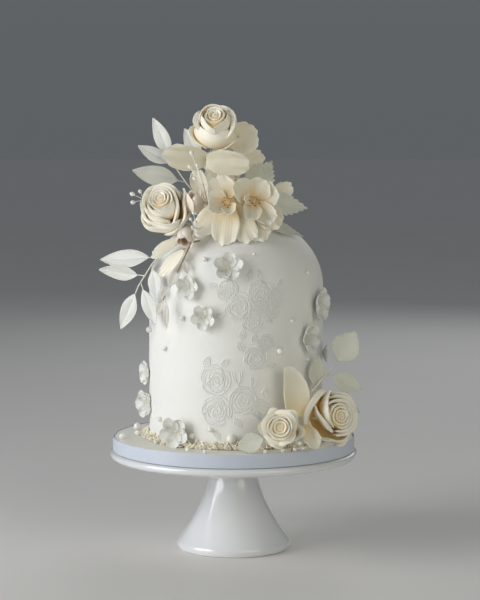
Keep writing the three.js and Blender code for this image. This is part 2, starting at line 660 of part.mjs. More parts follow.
// Wired sprays
const SPRAYS = [
  {
    name: "spray_top",
    stem: [[-17, -12, 352], [-42, -8, 376], [-54, -2, 391], [-64, 5, 406]],
    leaves: [
      { near: [-64, 5, 406], tip: [-84, 8, 452], face: [-0.3, -1, 0.1], width: 17 },
      { near: [-62, 3, 403], tip: [-99.5, 0, 423], face: [-0.1, -1, 0.3], width: 15 },
      { near: [-50, -4, 385], tip: [-104, -26, 398], face: [-0.1, -1, 0.4], width: 21 },
    ],
  },
  {
    name: "spray_left",
    stem: [
      [-40, -48, 331], [-60, -57, 322], [-72, -55, 314], [-82, -52, 304], [-91, -50, 290],
      [-98, -48, 279],
    ],
    leaves: [
      { near: [-80, -51, 314], tip: [-137, -30, 306], face: [-0.1, -0.9, 0.5], width: 20 },
      { near: [-93, -49, 292], tip: [-138.5, -36, 296.5], face: [-0.1, -0.9, -0.3], width: 17 },
      { near: [-98, -47, 276], tip: [-116, -36, 235], face: [-0.4, -0.9, 0], width: 17 },
      { near: [-94, -51, 282], tip: [-79, -60, 242], face: [-0.4, -0.9, 0], width: 15 },
      { near: [-84, -56, 302], tip: [-77, -66, 270], face: [-0.4, -0.9, 0], width: 15 },
    ],
  },
  {
    name: "spray_buds",
    stem: [
      [-34, -57, 327], [-42, -68, 325], [-49, -75, 312], [-58, -77, 293], [-66, -76, 278],
      [-71, -74, 268],
    ],
    leaves: [
      { near: [-49, -76, 311], tip: [-46, -84, 295], face: [0.2, -1, 0], width: 8 },
      { near: [-58, -78, 300], tip: [-64, -83, 283], face: [-0.2, -1, 0], width: 10 },
      { near: [-66, -79, 285], tip: [-73, -82, 272], face: [-0.2, -1, 0], width: 8 },
      { near: [-71, -74, 268], tip: [-77, -76, 254], face: [-0.2, -1, 0], width: 8 },
      { near: [-66, -77, 272], tip: [-67, -82, 240], face: [-0.2, -1, 0], width: 6 },
    ],
  },
  {
    name: "spray_back",
    stem: [[-20, 14, 351], [-14, 32, 351], [-2, 49, 348], [12, 60, 343]],
    leaves: [
      { near: [-18, 20, 352], tip: [-66, 46, 357], face: [-0.3, 0.6, 0.8], width: 27 },
      { near: [-12, 36, 351], tip: [-46, 72, 324], face: [-0.3, 0.8, 0.6], width: 22 },
      { near: [-4, 46, 349], tip: [42, 50, 356], face: [0.3, 0.8, 0.5], width: 25 },
      { near: [12, 60, 343], tip: [40, 82, 316], face: [0.4, 0.9, 0.4], width: 22 },
    ],
  },
  {
    name: "spray_right",
    stem: [[75.5, -55, 164], [82, -62, 176], [88, -66, 184], [95, -60, 191], [102, -56, 198]],
    leaves: [
      { near: [103, -55, 199], tip: [125.5, -50, 234.5], face: [0, -1, 0.1], width: 29 },
      { near: [98, -58, 188], tip: [131, -58, 175], face: [0.1, -0.9, 0.4], width: 21 },
    ],
  },
];

// Sprigs of drop buds and berries: root, then each drop's place and radius
const SPRIGS = [
  { name: "sprig_crown", foot: [-22, -30, 348], root: [-31, -46, 384],
    drops: [[-43, -36, 416, 2.6], [-45, -38, 402, 2.3], [-37, -40, 403, 2.2], [-40, -42, 390, 2.4]] },
  { name: "sprig_far_left", foot: [-62, 6, 331.5], root: [-93, -2, 367],
    drops: [[-105.8, -7, 373.2, 2.6], [-97.5, -6, 376, 2.2], [-105, -9, 364.3, 2.5]] },
  { name: "sprig_middle", foot: [-33, -50, 333], root: [-38, -60, 340],
    drops: [[-40, -72, 356, 2], [-43, -75, 350, 2], [-38, -77, 347, 2.2], [-41, -78, 342, 1.8]] },
  { name: "sprig_foot", foot: [58, -108, 119.8], root: [59, -109, 123],
    drops: [[66, -119, 130.5, 2.8], [61, -121, 124.5, 2.1], [69, -118, 124.8, 2]] },
];

const BUDS = [
  { name: "bud_open", foot: [-30, -30, 345.5], base: [-38, -38, 355.5], azimuth: -20,
    elevation: 72, radius: 7.5, height: 22 },
  { name: "bud_rosy", foot: [-38, -53, 330], base: [-46, -65, 339], azimuth: -18, elevation: -52,
    radius: 8, height: 17 },
];

// Small blossoms stuck to the icing: azimuth, height, radius, twist, how far they turn away
// from facing straight out, and how far out they sit
const BLOSSOMS = [
  [-4.6, 301, 14.5, 10, 0, 0], [-30.5, 281, 12.5, 50, 0, 0], [-20, 252, 12.5, 30, 0, 0],
  [65, 261, 16.5, 5, 0, 0.5], [52, 228, 14, 20, 0, 0.5], [-86, 186, 12.3, 15, 20, 0],
  [-84, 154, 14, 60, 30, 1], [-39, 134, 15.5, 25, 14, 4], [83, 207, 9, 0, 0, 0],
  [150, 292, 13, 0, 0, 0], [171, 232, 12, 30, 0, 0], [-134, 226, 13, 10, 0, 0],
  [-163, 137, 14, 45, 0, 2], [120, 139, 13.5, 5, 0, 2],
];

// A blossom on a wire, away from the cake
const FREE_BLOSSOM = {
  name: "blossom_wired", foot: [84, -42, 138], centre: [117, -56, 145], azimuth: 66, elevation: 8,
  radius: 12,
};

// The bound wires that carry the crown's flowers
const POSY = {
  path: [[-9, -6, 353], [-12, -5, 386], [-14, -1, 425]], footRadius: 7, headRadius: 3,
};

// ---------- building ----------

const paste = (color, roughness = 0.55) =>
  new THREE.MeshStandardMaterial({ color, roughness, metalness: 0 });
const MATERIALS = {
  porcelain: paste(0xf2f2f4, 0.15),
  icing: paste(0xeeebe0, 0.5),
  ribbon: paste(0xdfe8f6, 0.35),
  ivory: paste(0xf3ecd9, 0.5),
  white: paste(0xf4f3ef, 0.5),
  rosy: paste(0xd8c3b4, 0.5),
  crumb: paste(0xf0e4c8, 0.6),
};

const still = new THREE.Matrix4();
// Each piece: a name, a material, where it stands and how to make it. A copy of it, larger all
// round by the gap, cuts what comes after it in this list, so that neighbours stay clear.
const pieces = [
  { name: "stand", material: "porcelain", frame: still, make: stand },
  { name: "cake_board", material: "icing", frame: still, make: board },
  { name: "board_ribbon", material: "ribbon", frame: still, make: ribbon },
  { name: "cake", material: "icing", frame: still, make: cake },
  { name: "foot_border", material: "crumb", frame: still, make: border },
];

function roseFrame({ centre, azimuth, elevation, height, twist }) {
  const facing = direction(azimuth, elevation);
  const base = vec(centre).addScaledVector(facing, -0.45 * height);
  return facingFrame(base.toArray(), facing, twist);
}

function addPiece(name, material, frame, make) {
  pieces.push({ name, material, frame, make });
}

// The shape with a wire behind it. The wire runs between two places outside the shape's frame.
function wired(shape, frame, foot, start, grow) {
  if (!foot) return shape;
  const inside = frame.clone().invert();
  const [from, to] = [foot, start].map((p) => vec(p).applyMatrix4(inside).toArray());
  return union([shape, wire(from, to, grow)]);
}

addPiece("posy_stem", "white", still, (grow) =>
  tube(POSY.path.map(vec), POSY.footRadius + grow, POSY.headRadius + grow, 8, 3),
);
for (const shape of ROSES) {
  const frame = roseFrame(shape);
  const back = vec([0, 0, -0.1 * shape.height]).applyMatrix4(frame).toArray();
  addPiece(shape.name, "ivory", frame, (grow) =>
    wired(rose(shape, grow), frame, shape.foot, back, grow),
  );
}
for (const { name, centre, azimuth, elevation, boss, foot, petals } of OPEN_FLOWERS) {
  // looking along -facing, local X runs to the viewer's right
  const facing = direction(azimuth, elevation);
  const right = new THREE.Vector3(0, 0, 1).cross(facing).normalize();
  const up = facing.clone().cross(right);
  const frame = new THREE.Matrix4().makeBasis(right, up, facing).setPosition(...centre);
  addPiece(name, "ivory", frame, (grow) =>
    wired(openFlower(petals, boss, grow), frame, foot, centre, grow),
  );
}
BLOSSOMS.forEach(([azimuth, height, radius, twist, turn, lift], i) => {
  const { place, facing } = onCake(azimuth, height, lift);
  facing.applyAxisAngle(new THREE.Vector3(0, 0, 1), radians(turn));
  const frame = facingFrame(place, facing, twist);
  addPiece(`blossom_${i + 1}`, "white", frame, (grow) => blossom({ radius }, grow));
});
function addBlade(name, material, make, { base, tip, face, foot, ...shape }) {
  const frame = alongFrame(base, tip, face);
  const length = distance(base, tip);
  const inside = vec(base).lerp(vec(tip), 0.08).toArray();
  addPiece(name, material, frame, (grow) =>
    wired(make({ ...shape, length }, grow), frame, foot, inside, grow),
  );
}

for (const { name, ...shape } of LEAVES) addBlade(name, "white", leaf, shape);
for (const { name, ...shape } of LOOSE_PETALS) addBlade(name, "ivory", petal, shape);
for (const { name, base, azimuth, elevation, foot, ...shape } of BUDS) {
  const frame = facingFrame(base, direction(azimuth, elevation));
  const inside = vec([0, 0, 0.1 * shape.height]).applyMatrix4(frame).toArray();
  addPiece(name, "rosy", frame, (grow) =>
    wired(tulipBud(shape, grow), frame, foot, inside, grow),
  );
}

function addFreeBlossom({ name, foot, centre, azimuth, elevation, radius }) {
  const frame = facingFrame(centre, direction(azimuth, elevation));
  const back = vec([0, 0, PASTE / 2 + GAP]).applyMatrix4(frame).toArray();
  addPiece(name, "white", frame, (grow) =>
    wired(blossom({ radius }, grow), frame, foot, back, grow),
  );
}

addFreeBlossom(FREE_BLOSSOM);
for (const shape of SPRAYS)
  addPiece(shape.name, "white", still, (grow) => spray(shape, grow));
for (const shape of SPRIGS)
  addPiece(shape.name, "white", still, (grow) => sprig(shape, grow));

function biggest(solid) {
  return solid.decompose().reduce((a, b) => (a.volume() > b.volume() ? a : b));
}

function boxesMeet(a, b) {
  return [0, 1, 2].every((k) => a.min[k] < b.max[k] && b.min[k] < a.max[k]);
}

const group = new THREE.Group();
const placed = [];
for (const { name, material, frame, make } of pieces) {
  let solid = moved(make(0), frame);
  for (const other of placed) {
    if (boxesMeet(solid.boundingBox(), other.boundingBox())) solid = solid.subtract(other);
  }
  solid = biggest(solid).simplify(SMOOTHING);
  placed.push(moved(make(GAP), frame));
  const mesh = new THREE.Mesh(
    geometryOf(moved(solid, frame.clone().invert())),
    MATERIALS[material],
  );
  mesh.name = name;
  mesh.applyMatrix4(frame);
  group.add(mesh);
}

export default group;
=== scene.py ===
"""Looks of a domed wedding cake with sugar flowers on a pedestal stand.

Places and sizes are in millimetres in the part's own frame: +Z up, the decorated front facing
-Y, and the origin in the middle of the stand's foot. Meshes are scaled to metres when made.
A shape's tone runs from 0, pale, to 1, the deep colour of its material.
"""

import bpy
import numpy as np
from mathutils import Matrix, Vector
from numpy import array, clip, cos, degrees, exp, linspace, maximum, minimum, pi, radians, sin


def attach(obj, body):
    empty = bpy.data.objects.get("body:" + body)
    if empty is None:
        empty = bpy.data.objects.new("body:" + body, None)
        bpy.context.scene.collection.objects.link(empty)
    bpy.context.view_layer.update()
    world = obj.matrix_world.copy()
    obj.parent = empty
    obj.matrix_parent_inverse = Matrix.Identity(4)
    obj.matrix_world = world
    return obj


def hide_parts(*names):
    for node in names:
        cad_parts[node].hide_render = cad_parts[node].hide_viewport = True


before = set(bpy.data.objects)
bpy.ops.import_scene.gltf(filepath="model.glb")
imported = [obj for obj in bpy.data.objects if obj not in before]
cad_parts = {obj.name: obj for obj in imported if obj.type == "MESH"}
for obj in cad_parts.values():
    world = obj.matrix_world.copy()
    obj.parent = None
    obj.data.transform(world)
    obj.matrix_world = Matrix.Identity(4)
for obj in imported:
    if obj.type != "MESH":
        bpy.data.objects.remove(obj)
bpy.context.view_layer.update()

MM = 0.001
rng = np.random.default_rng(20)

# Driving dimensions, as in the CAD part
GAP = 0.35
FOOT_RADIUS, NECK_RADIUS, NECK_HEIGHT = 60, 25.5, 80
PLATE_RADIUS, PLATE_TOP, PLATE_EDGE = 130, 105, 9
BOARD_RADIUS, BOARD_TOP = 126, 119
CAKE_RADIUS, CAKE_SHIFT = 91, 2.5
SHOULDER_HEIGHT, CAKE_TOP = 277, 353
DOME_HEIGHT = CAKE_TOP - SHOULDER_HEIGHT
WIRE, PETAL_THICKNESS, LIP_THICKNESS = 0.9, 0.75, 0.65

# Rows from base to tip and columns across, for a flat petal, a cupped one and a small blossom's
FLAT, CUPPED, SMALL = (22, 31), (22, 25), (16, 19)
LEAF_COLUMNS, STEM_MARKS = 23, 31


# ---------- places ----------


def unit(vectors):
    """A vector, or each of an array of them, at length 1."""
    size = np.linalg.norm(vectors, axis=-1, keepdims=True)
    return np.asarray(vectors, float) / maximum(size, 1e-9)


def xyz(x, y, z):
    """Points from arrays of coordinates that broadcast together."""
    return np.stack(np.broadcast_arrays(x, y, z), axis=-1)


def around(radius, angle, height):
    """Points round the part's axis. Angle 0, in radians, is at the front."""
    return xyz(radius * sin(angle), -radius * cos(angle), height)


def full_turn(count):
    """Evenly spaced angles once round."""
    return linspace(0, 2 * pi, count, endpoint=False)


def distance(a, b):
    """How far apart two places are."""
    return float(np.linalg.norm(np.subtract(a, b)))


def direction(azimuth, elevation=0.0):
    """Azimuth 0 looks out of the cake's front and 90 to its right."""
    a, e = radians([azimuth, elevation])
    return array([sin(a) * cos(e), -cos(a) * cos(e), sin(e)])


def axes(origin, x, y, z):
    """The matrix of a frame with these axes."""
    matrix = np.eye(4)
    matrix[:3] = np.stack([x, y, z, origin], axis=1)
    return matrix


def spin(degrees, axis="Z"):
    """A turn about one of the frame's own axes."""
    return array(Matrix.Rotation(radians(degrees), 4, axis))


def viewer_frame(origin, facing):
    """Z along facing, X to the right and Y up for someone who looks at it."""
    right = unit(np.cross([0, 0, 1], facing))
    return axes(origin, right, np.cross(facing, right), facing)


def facing_frame(origin, facing, twist=0.0):
    """Z along facing by the shortest turn, then a twist."""
    turn = array(Vector((0, 0, 1)).rotation_difference(Vector(facing)).to_matrix().to_4x4())
    turn[:3, 3] = origin
    return turn @ spin(twist)


def blade_frame(base, tip, face):
    """X from base to tip, Z nearest to face."""
    x = unit(np.subtract(tip, base))
    z = unit(face - np.dot(face, x) * x)
    return axes(base, x, np.cross(z, x), z)


def petal_frame(azimuth, forward, out, lift):
    """A petal's place in its flower: raised by lift, moved out, and turned to azimuth."""
    raised = spin(-lift, "Y")
    raised[:3, 3] = (out, 0, forward)
    return spin(azimuth) @ raised


def unevenness(angle, height):
    """How far the icing stands proud at an angle, in radians, and a height."""
    waves = 0.26 * sin(3 * angle + height / 31) + 0.16 * sin(5 * angle - height / 17 + 1)
    return waves * clip((height - BOARD_TOP) / 30, 0, 1)


def on_cake(azimuth, height, lift=0.0):
    """The place and the outward direction at a point of the icing."""
    rise = max(0.0, height - SHOULDER_HEIGHT) / DOME_HEIGHT
    radius = CAKE_RADIUS * np.sqrt(max(0.0, 1 - rise * rise))
    radius += unevenness(radians(azimuth), height)
    out = direction(azimuth)
    facing = unit(out * radius / CAKE_RADIUS**2 + [0, 0, rise / DOME_HEIGHT])
    return out * radius + [CAKE_SHIFT, 0, height] + facing * lift, facing


def smooth_path(points, count):
    """Evenly spaced points along a Catmull-Rom curve through the given ones."""
    p = np.asarray(points, float)
    p = np.vstack([2 * p[0] - p[1], p, 2 * p[-1] - p[-2]])
    t = linspace(0, 1, 20, endpoint=False)[:, None]
    runs = []
    for a, b, c, d in zip(p, p[1:], p[2:], p[3:]):
        low = 2 * b + (c - a) * t + (2 * a - 5 * b + 4 * c - d) * t**2
        runs.append(0.5 * (low + (3 * b - a - 3 * c + d) * t**3))
    fine = np.vstack(runs + [p[-2:-1]])
    along = np.concatenate([[0], np.cumsum(np.linalg.norm(np.diff(fine, axis=0), axis=1))])
    marks = linspace(0, along[-1], count)
    return np.stack([np.interp(marks, along, column) for column in fine.T], axis=1)


# ---------- meshes ----------


class Shape:
    """Points, faces and tones collected from the parts of one piece."""

    def __init__(self):
        self.points, self.faces, self.tones, self.size = [], [], [], 0

    def add(self, points, faces, tone=0.0, at=None):
        points = np.asarray(points, float).reshape(-1, 3)
        if at is not None:
            points = points @ at[:3, :3].T + at[:3, 3]
        self.points.append(points)
        self.tones.append(np.broadcast_to(np.ravel(tone), len(points)))
        self.faces.extend((np.asarray(faces) + self.size).tolist())
        self.size += len(points)

    def add_rings(self, rings, tone=0.0, at=None, step=-1):
        """A skin over a stack of rings, closed at both ends. step is 1 where they go down."""
        start, sides = self.size, len(rings[0])
        self.add(rings, grid_faces(len(rings), sides, wrap=True)[:, ::step], tone, at)
        loop = list(range(sides))[::step]
        self.faces.append([start + i for i in loop])
        self.faces.append([self.size - sides + i for i in loop[::-1]])


def grid_faces(rows, columns, wrap=False):
    """The faces of a grid of points. wrap joins its last column to its first."""
    i = np.arange(rows - 1)[:, None] * columns
    j = np.arange(columns if wrap else columns - 1)[None, :]
    k = (j + 1) % columns
    return np.stack([i + j, i + columns + j, i + columns + k, i + k], axis=-1).reshape(-1, 4)


def sheet(shape, grid, thickness, tone=0.0, at=None, under=1.0):
    """A thin closed solid around a grid of points.

    tone is the upper side's, the under side having it times under, or a pair of tones.
    """
    size = grid.shape[:2]
    normal = unit(np.cross(np.gradient(grid, axis=0), np.gradient(grid, axis=1)))
    half = normal * np.asarray(thickness)[..., None] / 2
    number = np.arange(size[0] * size[1]).reshape(size)
    loop = np.concatenate([number[:-1, 0], number[-1, :-1], number[:0:-1, -1], number[0, :0:-1]])
    after = np.roll(loop, -1)
    tops = grid_faces(*size)
    rim = np.stack([after, loop, loop + number.size, after + number.size], axis=1)
    if not isinstance(tone, tuple):
        tone = (tone, np.asarray(tone) * under)
    shape.add(
        [grid + half, grid - half],
        np.concatenate([tops, tops[:, ::-1] + number.size, rim]),
        [np.broadcast_to(side, size) for side in tone],
        at,
    )


def tube(shape, path, radius, sides=8, tone=0.0, at=None):
    """A round rod along a path, its ends closed. radius is one number or one for each point."""
    run = unit(np.gradient(np.asarray(path, float), axis=0))
    side = unit(np.cross(run[0], [0.31, 0.17, 0.93]))
    angle = full_turn(sides)[:, None]
    rings = []
    for place, ahead, size in zip(path, run, np.broadcast_to(radius, len(path))):
        side = unit(side - np.dot(side, ahead) * ahead)
        circle = cos(angle) * side + sin(angle) * np.cross(ahead, side)
        rings.append(place + size * circle)
    shape.add_rings(rings, tone, at)


def wire(shape, start, end, radius=WIRE, tone=0.3):
    """A straight round wire."""
    tube(shape, linspace(start, end, 4), radius, 8, tone)


def lathe(shape, profile, segments, tone=0.0, at=None):
    """A solid of revolution from (radius, height) points, its two ends closed flat."""
    radius, height = np.asarray(profile, float).T[:, :, None]
    shape.add_rings(around(radius, full_turn(segments), height), tone, at)


def balls(shape, centres, radii, segments, rings, stretch=(1, 1, 1), tone=0.0, at=None):
    """Small balls, each closed, at one centre or more."""
    down, turn = linspace(0.06, pi - 0.06, rings)[:, None], full_turn(segments)
    ball = xyz(sin(down) * cos(turn), sin(down) * sin(turn), cos(down)) * stretch
    centres = np.atleast_2d(centres)
    radii, tones = (np.broadcast_to(given, len(centres)) for given in (radii, tone))
    for centre, radius, own in zip(centres, radii, tones):
        shape.add_rings(centre + ball * radius, own, at, step=1)


def link(name, data):
    """A new object in the scene."""
    made = bpy.data.objects.new(name, data)
    bpy.context.scene.collection.objects.link(made)
    return made


def piece(name, shape, material, slot, *nodes):
    """Makes the object, and hides the CAD parts that it stands in for."""
    mesh = bpy.data.meshes.new(name)
    mesh.from_pydata((np.concatenate(shape.points) * MM).tolist(), [], shape.faces)
    tone = mesh.attributes.new("tone", "FLOAT", "POINT")
    tone.data.foreach_set("value", np.concatenate(shape.tones).astype(np.float32))
    mesh.shade_smooth()
    mesh.set_sharp_from_angle(angle=radians(65))
    mesh.materials.append(material)
    made = link(name, mesh)
    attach(made, "root")
    if nodes:
        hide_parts(*nodes)


# ---------- materials ----------


class Tree:
    """The nodes of a new material or world, and short ways to add to them."""

    def __init__(self, owner, shader="Principled BSDF"):
        owner.use_nodes = True
        self.owner, self.tree = owner, owner.node_tree
        self.shader = self.tree.nodes[shader]
        self.places = self.add("TexCoord").outputs

    def put(self, socket, value):
        """Gives an input its value, or the output that feeds it."""
        if isinstance(value, bpy.types.NodeSocket):
            self.tree.links.new(value, socket)
        else:
            socket.default_value = value

    def feed(self, node, **inputs):
        """Gives inputs by their names, with _ for a space."""
        for key, value in inputs.items():
            self.put(node.inputs[key.replace("_", " ")], value)

    def add(self, kind, **inputs):
        node = self.tree.nodes.new("ShaderNode" + kind)
        self.feed(node, **inputs)
        return node

    def noise(self, scale, detail=3.0):
        place = self.places["Object"]
        return self.add("TexNoise", Vector=place, Scale=scale, Detail=detail).outputs["Fac"]

    def math(self, operation, *values, clamp=False):
        node = self.add("Math")
        node.operation, node.use_clamp = operation, clamp
        for socket, value in zip(node.inputs, values):
            self.put(socket, value)
        return node.outputs["Value"]

    def mix(self, factor, first, second):
        """Mixes two colours, whose sockets come after those of the node's other kinds."""
        node = self.add("Mix")
        node.data_type = "RGBA"
        for i, value in ((0, factor), (6, first), (7, second)):
            self.put(node.inputs[i], value)
        return node.outputs[2]

    def bump(self, height, depth):
        node = self.add("Bump", Height=height, Distance=depth * MM, Strength=1.0)
        self.feed(self.shader, Normal=node.outputs["Normal"])


def rgb(colour):
    """An sRGB colour of 0 to 255 as Blender's linear one."""
    parts = [c / 255 for c in colour]
    return tuple(c / 12.92 if c <= 0.04045 else ((c + 0.055) / 1.055) ** 2.4 for c in parts) + (1,)


def paste(name, pale, deep, roughness=0.5, scatter=0.2, mottle=0.12, grain=0.05, reach=0.004):
    """Sugar paste: pale where its tone is 0 and deep where it is 1, a little uneven.

    scatter is the share of light that enters it, and reach is how far that goes, in metres.
    """
    tree = Tree(bpy.data.materials.new(name))
    tone = tree.add("Attribute")
    tone.attribute_name = "tone"
    patch = tree.math("MULTIPLY_ADD", tree.noise(45), mottle * 2, mottle / -2)
    factor = tree.math("ADD", tone.outputs["Fac"], patch, clamp=True)
    rough = tree.math("MULTIPLY_ADD", tree.noise(160), 0.18, roughness - 0.09)
    tree.feed(
        tree.shader, Base_Color=tree.mix(factor, rgb(pale), rgb(deep)), Roughness=rough,
        Subsurface_Weight=scatter, Subsurface_Scale=reach, Subsurface_Radius=(1.0, 0.86, 0.64),
        Specular_IOR_Level=0.4,
    )
    tree.bump(tree.noise(1400, 2), grain)
    return tree.owner


def mottled(name, pale, deep, patches, grain=None, **surface):
    """Two colours in soft patches. grain is a bump's noise scale, its detail and its depth."""
    tree = Tree(bpy.data.materials.new(name))
    shade = tree.mix(tree.noise(patches), rgb(pale), rgb(deep))
    tree.feed(tree.shader, Base_Color=shade, **surface)
    if grain:
        scale, detail, depth = grain
        tree.bump(tree.noise(scale, detail), depth)
    return tree


def satin():
    """Ribbon satin: fine threads round the board, and fainter ones across them."""
    tree = mottled("satin_ribbon", (212, 219, 231), (204, 212, 226), 30, Roughness=0.36,
                   Sheen_Weight=0.2, Sheen_Roughness=0.4, Anisotropic=0.4)
    x, y, z = tree.add("SeparateXYZ", Vector=tree.places["Object"]).outputs
    threads = tree.math("SINE", tree.math("MULTIPLY", z, 16000))
    ribs = tree.math("SINE", tree.math("MULTIPLY", tree.math("ARCTAN2", y, x), 1400))
    tree.bump(tree.math("MULTIPLY_ADD", ribs, 0.3, threads), 0.008)
    return tree.owner


def taped(name, pale, deep):
    """Wire bound with crinkled paper tape."""
    return mottled(name, pale, deep, 420, (1500, 3, 0.12), Roughness=0.7).owner


ICING = paste("ivory_icing", (244, 244, 240), (230, 222, 200), scatter=0.15, mottle=0.1, grain=0.03)
# The roses' deep colour is partly a golden dusting and partly painted warm shade in the gaps between
# petals
IVORY = paste("ivory_paste", (255, 252, 240), (250, 218, 152), scatter=0.06, reach=0.002)
PALE = paste("pale_paste", (253, 250, 238), (238, 216, 166), scatter=0.12, reach=0.002)
# Painted shade: a darker copy of the pale paste, for loose petals that lie in the shadow of the flowers
# above them
SHADED_CREAM = paste("shaded_cream_paste", (228, 227, 212), (222, 202, 156), reach=0.003)
SILK = paste("pearled_paste", (243, 242, 230), (236, 204, 144), 0.42, 0.12, reach=0.002)
WHITE = paste("white_paste", (238, 239, 234), (214, 210, 190))
# Painted shade: a darker, greyer copy of the white paste, for the toothed leaves that lie in shade
SHADED_SAGE = paste("shaded_sage_paste", (218, 219, 206), (194, 190, 166), roughness=0.55)
ROSY = paste("dusky_paste", (252, 243, 230), (202, 168, 142), scatter=0.08, reach=0.002)
BLUSH = paste("blush_paste", (240, 237, 230), (206, 188, 172))
CRUMB = paste("sugar_crumb", (255, 251, 238), (246, 230, 192), mottle=0.2, scatter=0.04)
CERAMIC = mottled("glazed_ceramic", (236, 237, 238), (228, 230, 233), 7, (22, 1, 0.25),
                  Roughness=0.16, Coat_Weight=0.6, Coat_Roughness=0.04).owner
PEARL = mottled("sugar_pearl", (252, 250, 243), (242, 239, 230), 260, (900, 1, 0.02),
                Roughness=0.24, Coat_Weight=0.6, Coat_Roughness=0.1,
                Subsurface_Weight=0.1, Subsurface_Scale=0.002).owner
ANTHER = mottled("anther", (150, 84, 28), (196, 138, 66), 1800, (3000, 3, 0.15),
                 Roughness=0.75).owner
FLOOR = mottled("pale_floor", (238, 235, 230), (231, 228, 224), 3, Roughness=0.6).owner
SATIN = satin()
TAPE = taped("ivory_tape", (238, 234, 222), (214, 206, 188))
DARK_TAPE = taped("taupe_tape", (176, 158, 140), (134, 116, 98))


# ---------- stand, board and ribbon ----------


def rounded(corners):
    """An outline with its corners rounded. Each corner is (radius, height, how far it is cut)."""
    outline = []
    for i, (r, h, cut) in enumerate(corners):
        here = array([r, h], float)
        if cut == 0:
            outline.append(here)
            continue
        ends = []
        for beside in (corners[i - 1][:2], corners[i + 1][:2]):
            ends.append(here + unit(beside - here) * min(cut, distance(beside, here) / 2))
        for t in linspace(0, 1, 5):
            outline.append((1 - t) ** 2 * ends[0] + 2 * t * (1 - t) * here + t * t * ends[1])
    return outline


def turned(name, corners, tone, *looks):
    """A piece of revolution with this rounded outline."""
    shape = Shape()
    lathe(shape, rounded(corners), 160, tone)
    piece(name, shape, *looks)


def make_stand():
    """The pedestal: a wide plate on a neck that flares into a foot."""
    lip = PLATE_TOP - PLATE_EDGE
    flare = [
        (NECK_RADIUS + (FOOT_RADIUS - NECK_RADIUS) * (1 - t) ** 1.65, 7 + (NECK_HEIGHT - 7) * t, 0)
        for t in linspace(0, 1, 40)
    ]
    turned("pedestal_stand", [
        (1, 0, 0), (FOOT_RADIUS - 1.2, 0, 2), (FOOT_RADIUS, 3, 3), *flare,
        (NECK_RADIUS + 1.5, NECK_HEIGHT + 8, 4), (NECK_RADIUS + 10, lip - 2, 7),
        (PLATE_RADIUS - 4, lip, 8), (PLATE_RADIUS, PLATE_TOP - 0.7 * PLATE_EDGE, 3),
        (PLATE_RADIUS, PLATE_TOP - 2.2, 2), (PLATE_RADIUS - 2.2, PLATE_TOP, 2), (1, PLATE_TOP, 0),
    ], 0.0, CERAMIC, "porcelain", "stand")


def make_board():
    """The board's top is smoothed by hand, so it is a little wavy."""
    low = PLATE_TOP + GAP
    top = [(r, BOARD_TOP + 0.25 * sin(r / 9), 0) for r in linspace(BOARD_RADIUS - 4, 1, 30)]
    turned("iced_board", [
        (1, low, 0), (BOARD_RADIUS, low, 1), (BOARD_RADIUS, BOARD_TOP - 1.6, 0),
        (BOARD_RADIUS - 0.6, BOARD_TOP - 0.4, 0), *top,
    ], 0.25, ICING, "icing", "cake_board")


def make_ribbon():
    """A satin band that overlaps itself at the back."""
    thick, overlap = 0.7, radians(6)
    angle = linspace(-pi - overlap, pi, 260)
    lap = clip((-pi + 0.02 - angle) / 0.03, 0, 1)
    across = linspace(0, 1, 7)[:, None]
    radius = BOARD_RADIUS + GAP + thick / 2 + (thick + 0.1) * lap
    low = PLATE_TOP + 2 * GAP
    high = BOARD_TOP + 0.55 + 0.12 * sin(angle * 9) + 0.08 * sin(angle * 23 + 1)
    bulge = 0.18 * sin(across * pi)
    shape = Shape()
    sheet(shape, around(radius + bulge, angle, low + (high - low) * across), thick)
    piece("satin_ribbon_band", shape, SATIN, "ribbon", "board_ribbon")


# ---------- the cake and its pressed pattern ----------


def make_cake():
    """Smooth icing over a slightly uneven cake."""
    base = BOARD_TOP + GAP
    side = [(CAKE_RADIUS - 1.6, base), (CAKE_RADIUS - 0.5, base + 0.8)]
    side += [(CAKE_RADIUS, h) for h in linspace(base + 2.4, SHOULDER_HEIGHT, 46)]
    dome = [
        (CAKE_RADIUS * cos(a), SHOULDER_HEIGHT + DOME_HEIGHT * sin(a))
        for a in linspace(0, pi / 2 * 0.985, 40)[1:]
    ]
    shape = Shape()
    lathe(shape, side + dome, 220)
    body = shape.points[0]
    proud = unevenness(np.arctan2(body[:, 0], -body[:, 1]), body[:, 2])
    body += unit(body * [1, 1, 0]) * proud[:, None] + [CAKE_SHIFT, 0, 0]
    piece("iced_cake", shape, ICING, "icing", "cake")


# Drawn lines are arrays of complex numbers, x to the right along the icing and y up it


def rose_lines(radius, start):
    """A line-drawn rose: a spiral heart, then rings of petals whose ends curl inward."""
    t = linspace(0, 1, 28)
    lines = [0.27 * radius * (0.1 + 0.9 * t) * exp(1j * (start + t * 3.2 * pi))]
    t = linspace(-1, 1, 20)
    for ring, petals in enumerate((3, 3, 4, 4, 5, 6)):
        for k in range(petals):
            middle = start + ring * 0.9 + 2 * pi * k / petals
            r = 0.4 + 0.12 * ring - 0.17 * abs(t - 0.2 * (k % 2)) ** 3
            r = radius * r * (1 + 0.07 * sin(5 * middle + start))
            half = pi / petals * (1.05 + 0.2 * sin(7 * middle))
            lines.append(r * exp(1j * (middle + half * t)))
    return lines


def leaf_lines(length, turn):
    """A line-drawn leaf: its outline, its midrib and side veins."""
    t, reach = linspace(0, 1, 16), linspace(0, 0.8, 6)
    lines = [t * 0.96 + 0j]
    for side in (0.27j, -0.27j):
        lines.append(t + side * sin(pi * t**0.8))
        for along in (0.25, 0.45, 0.65):
            rise = side * reach * sin(pi * along**0.8)
            lines.append(along + 0.16 * reach + rise)
    return [line * length * exp(1j * turn) for line in lines]


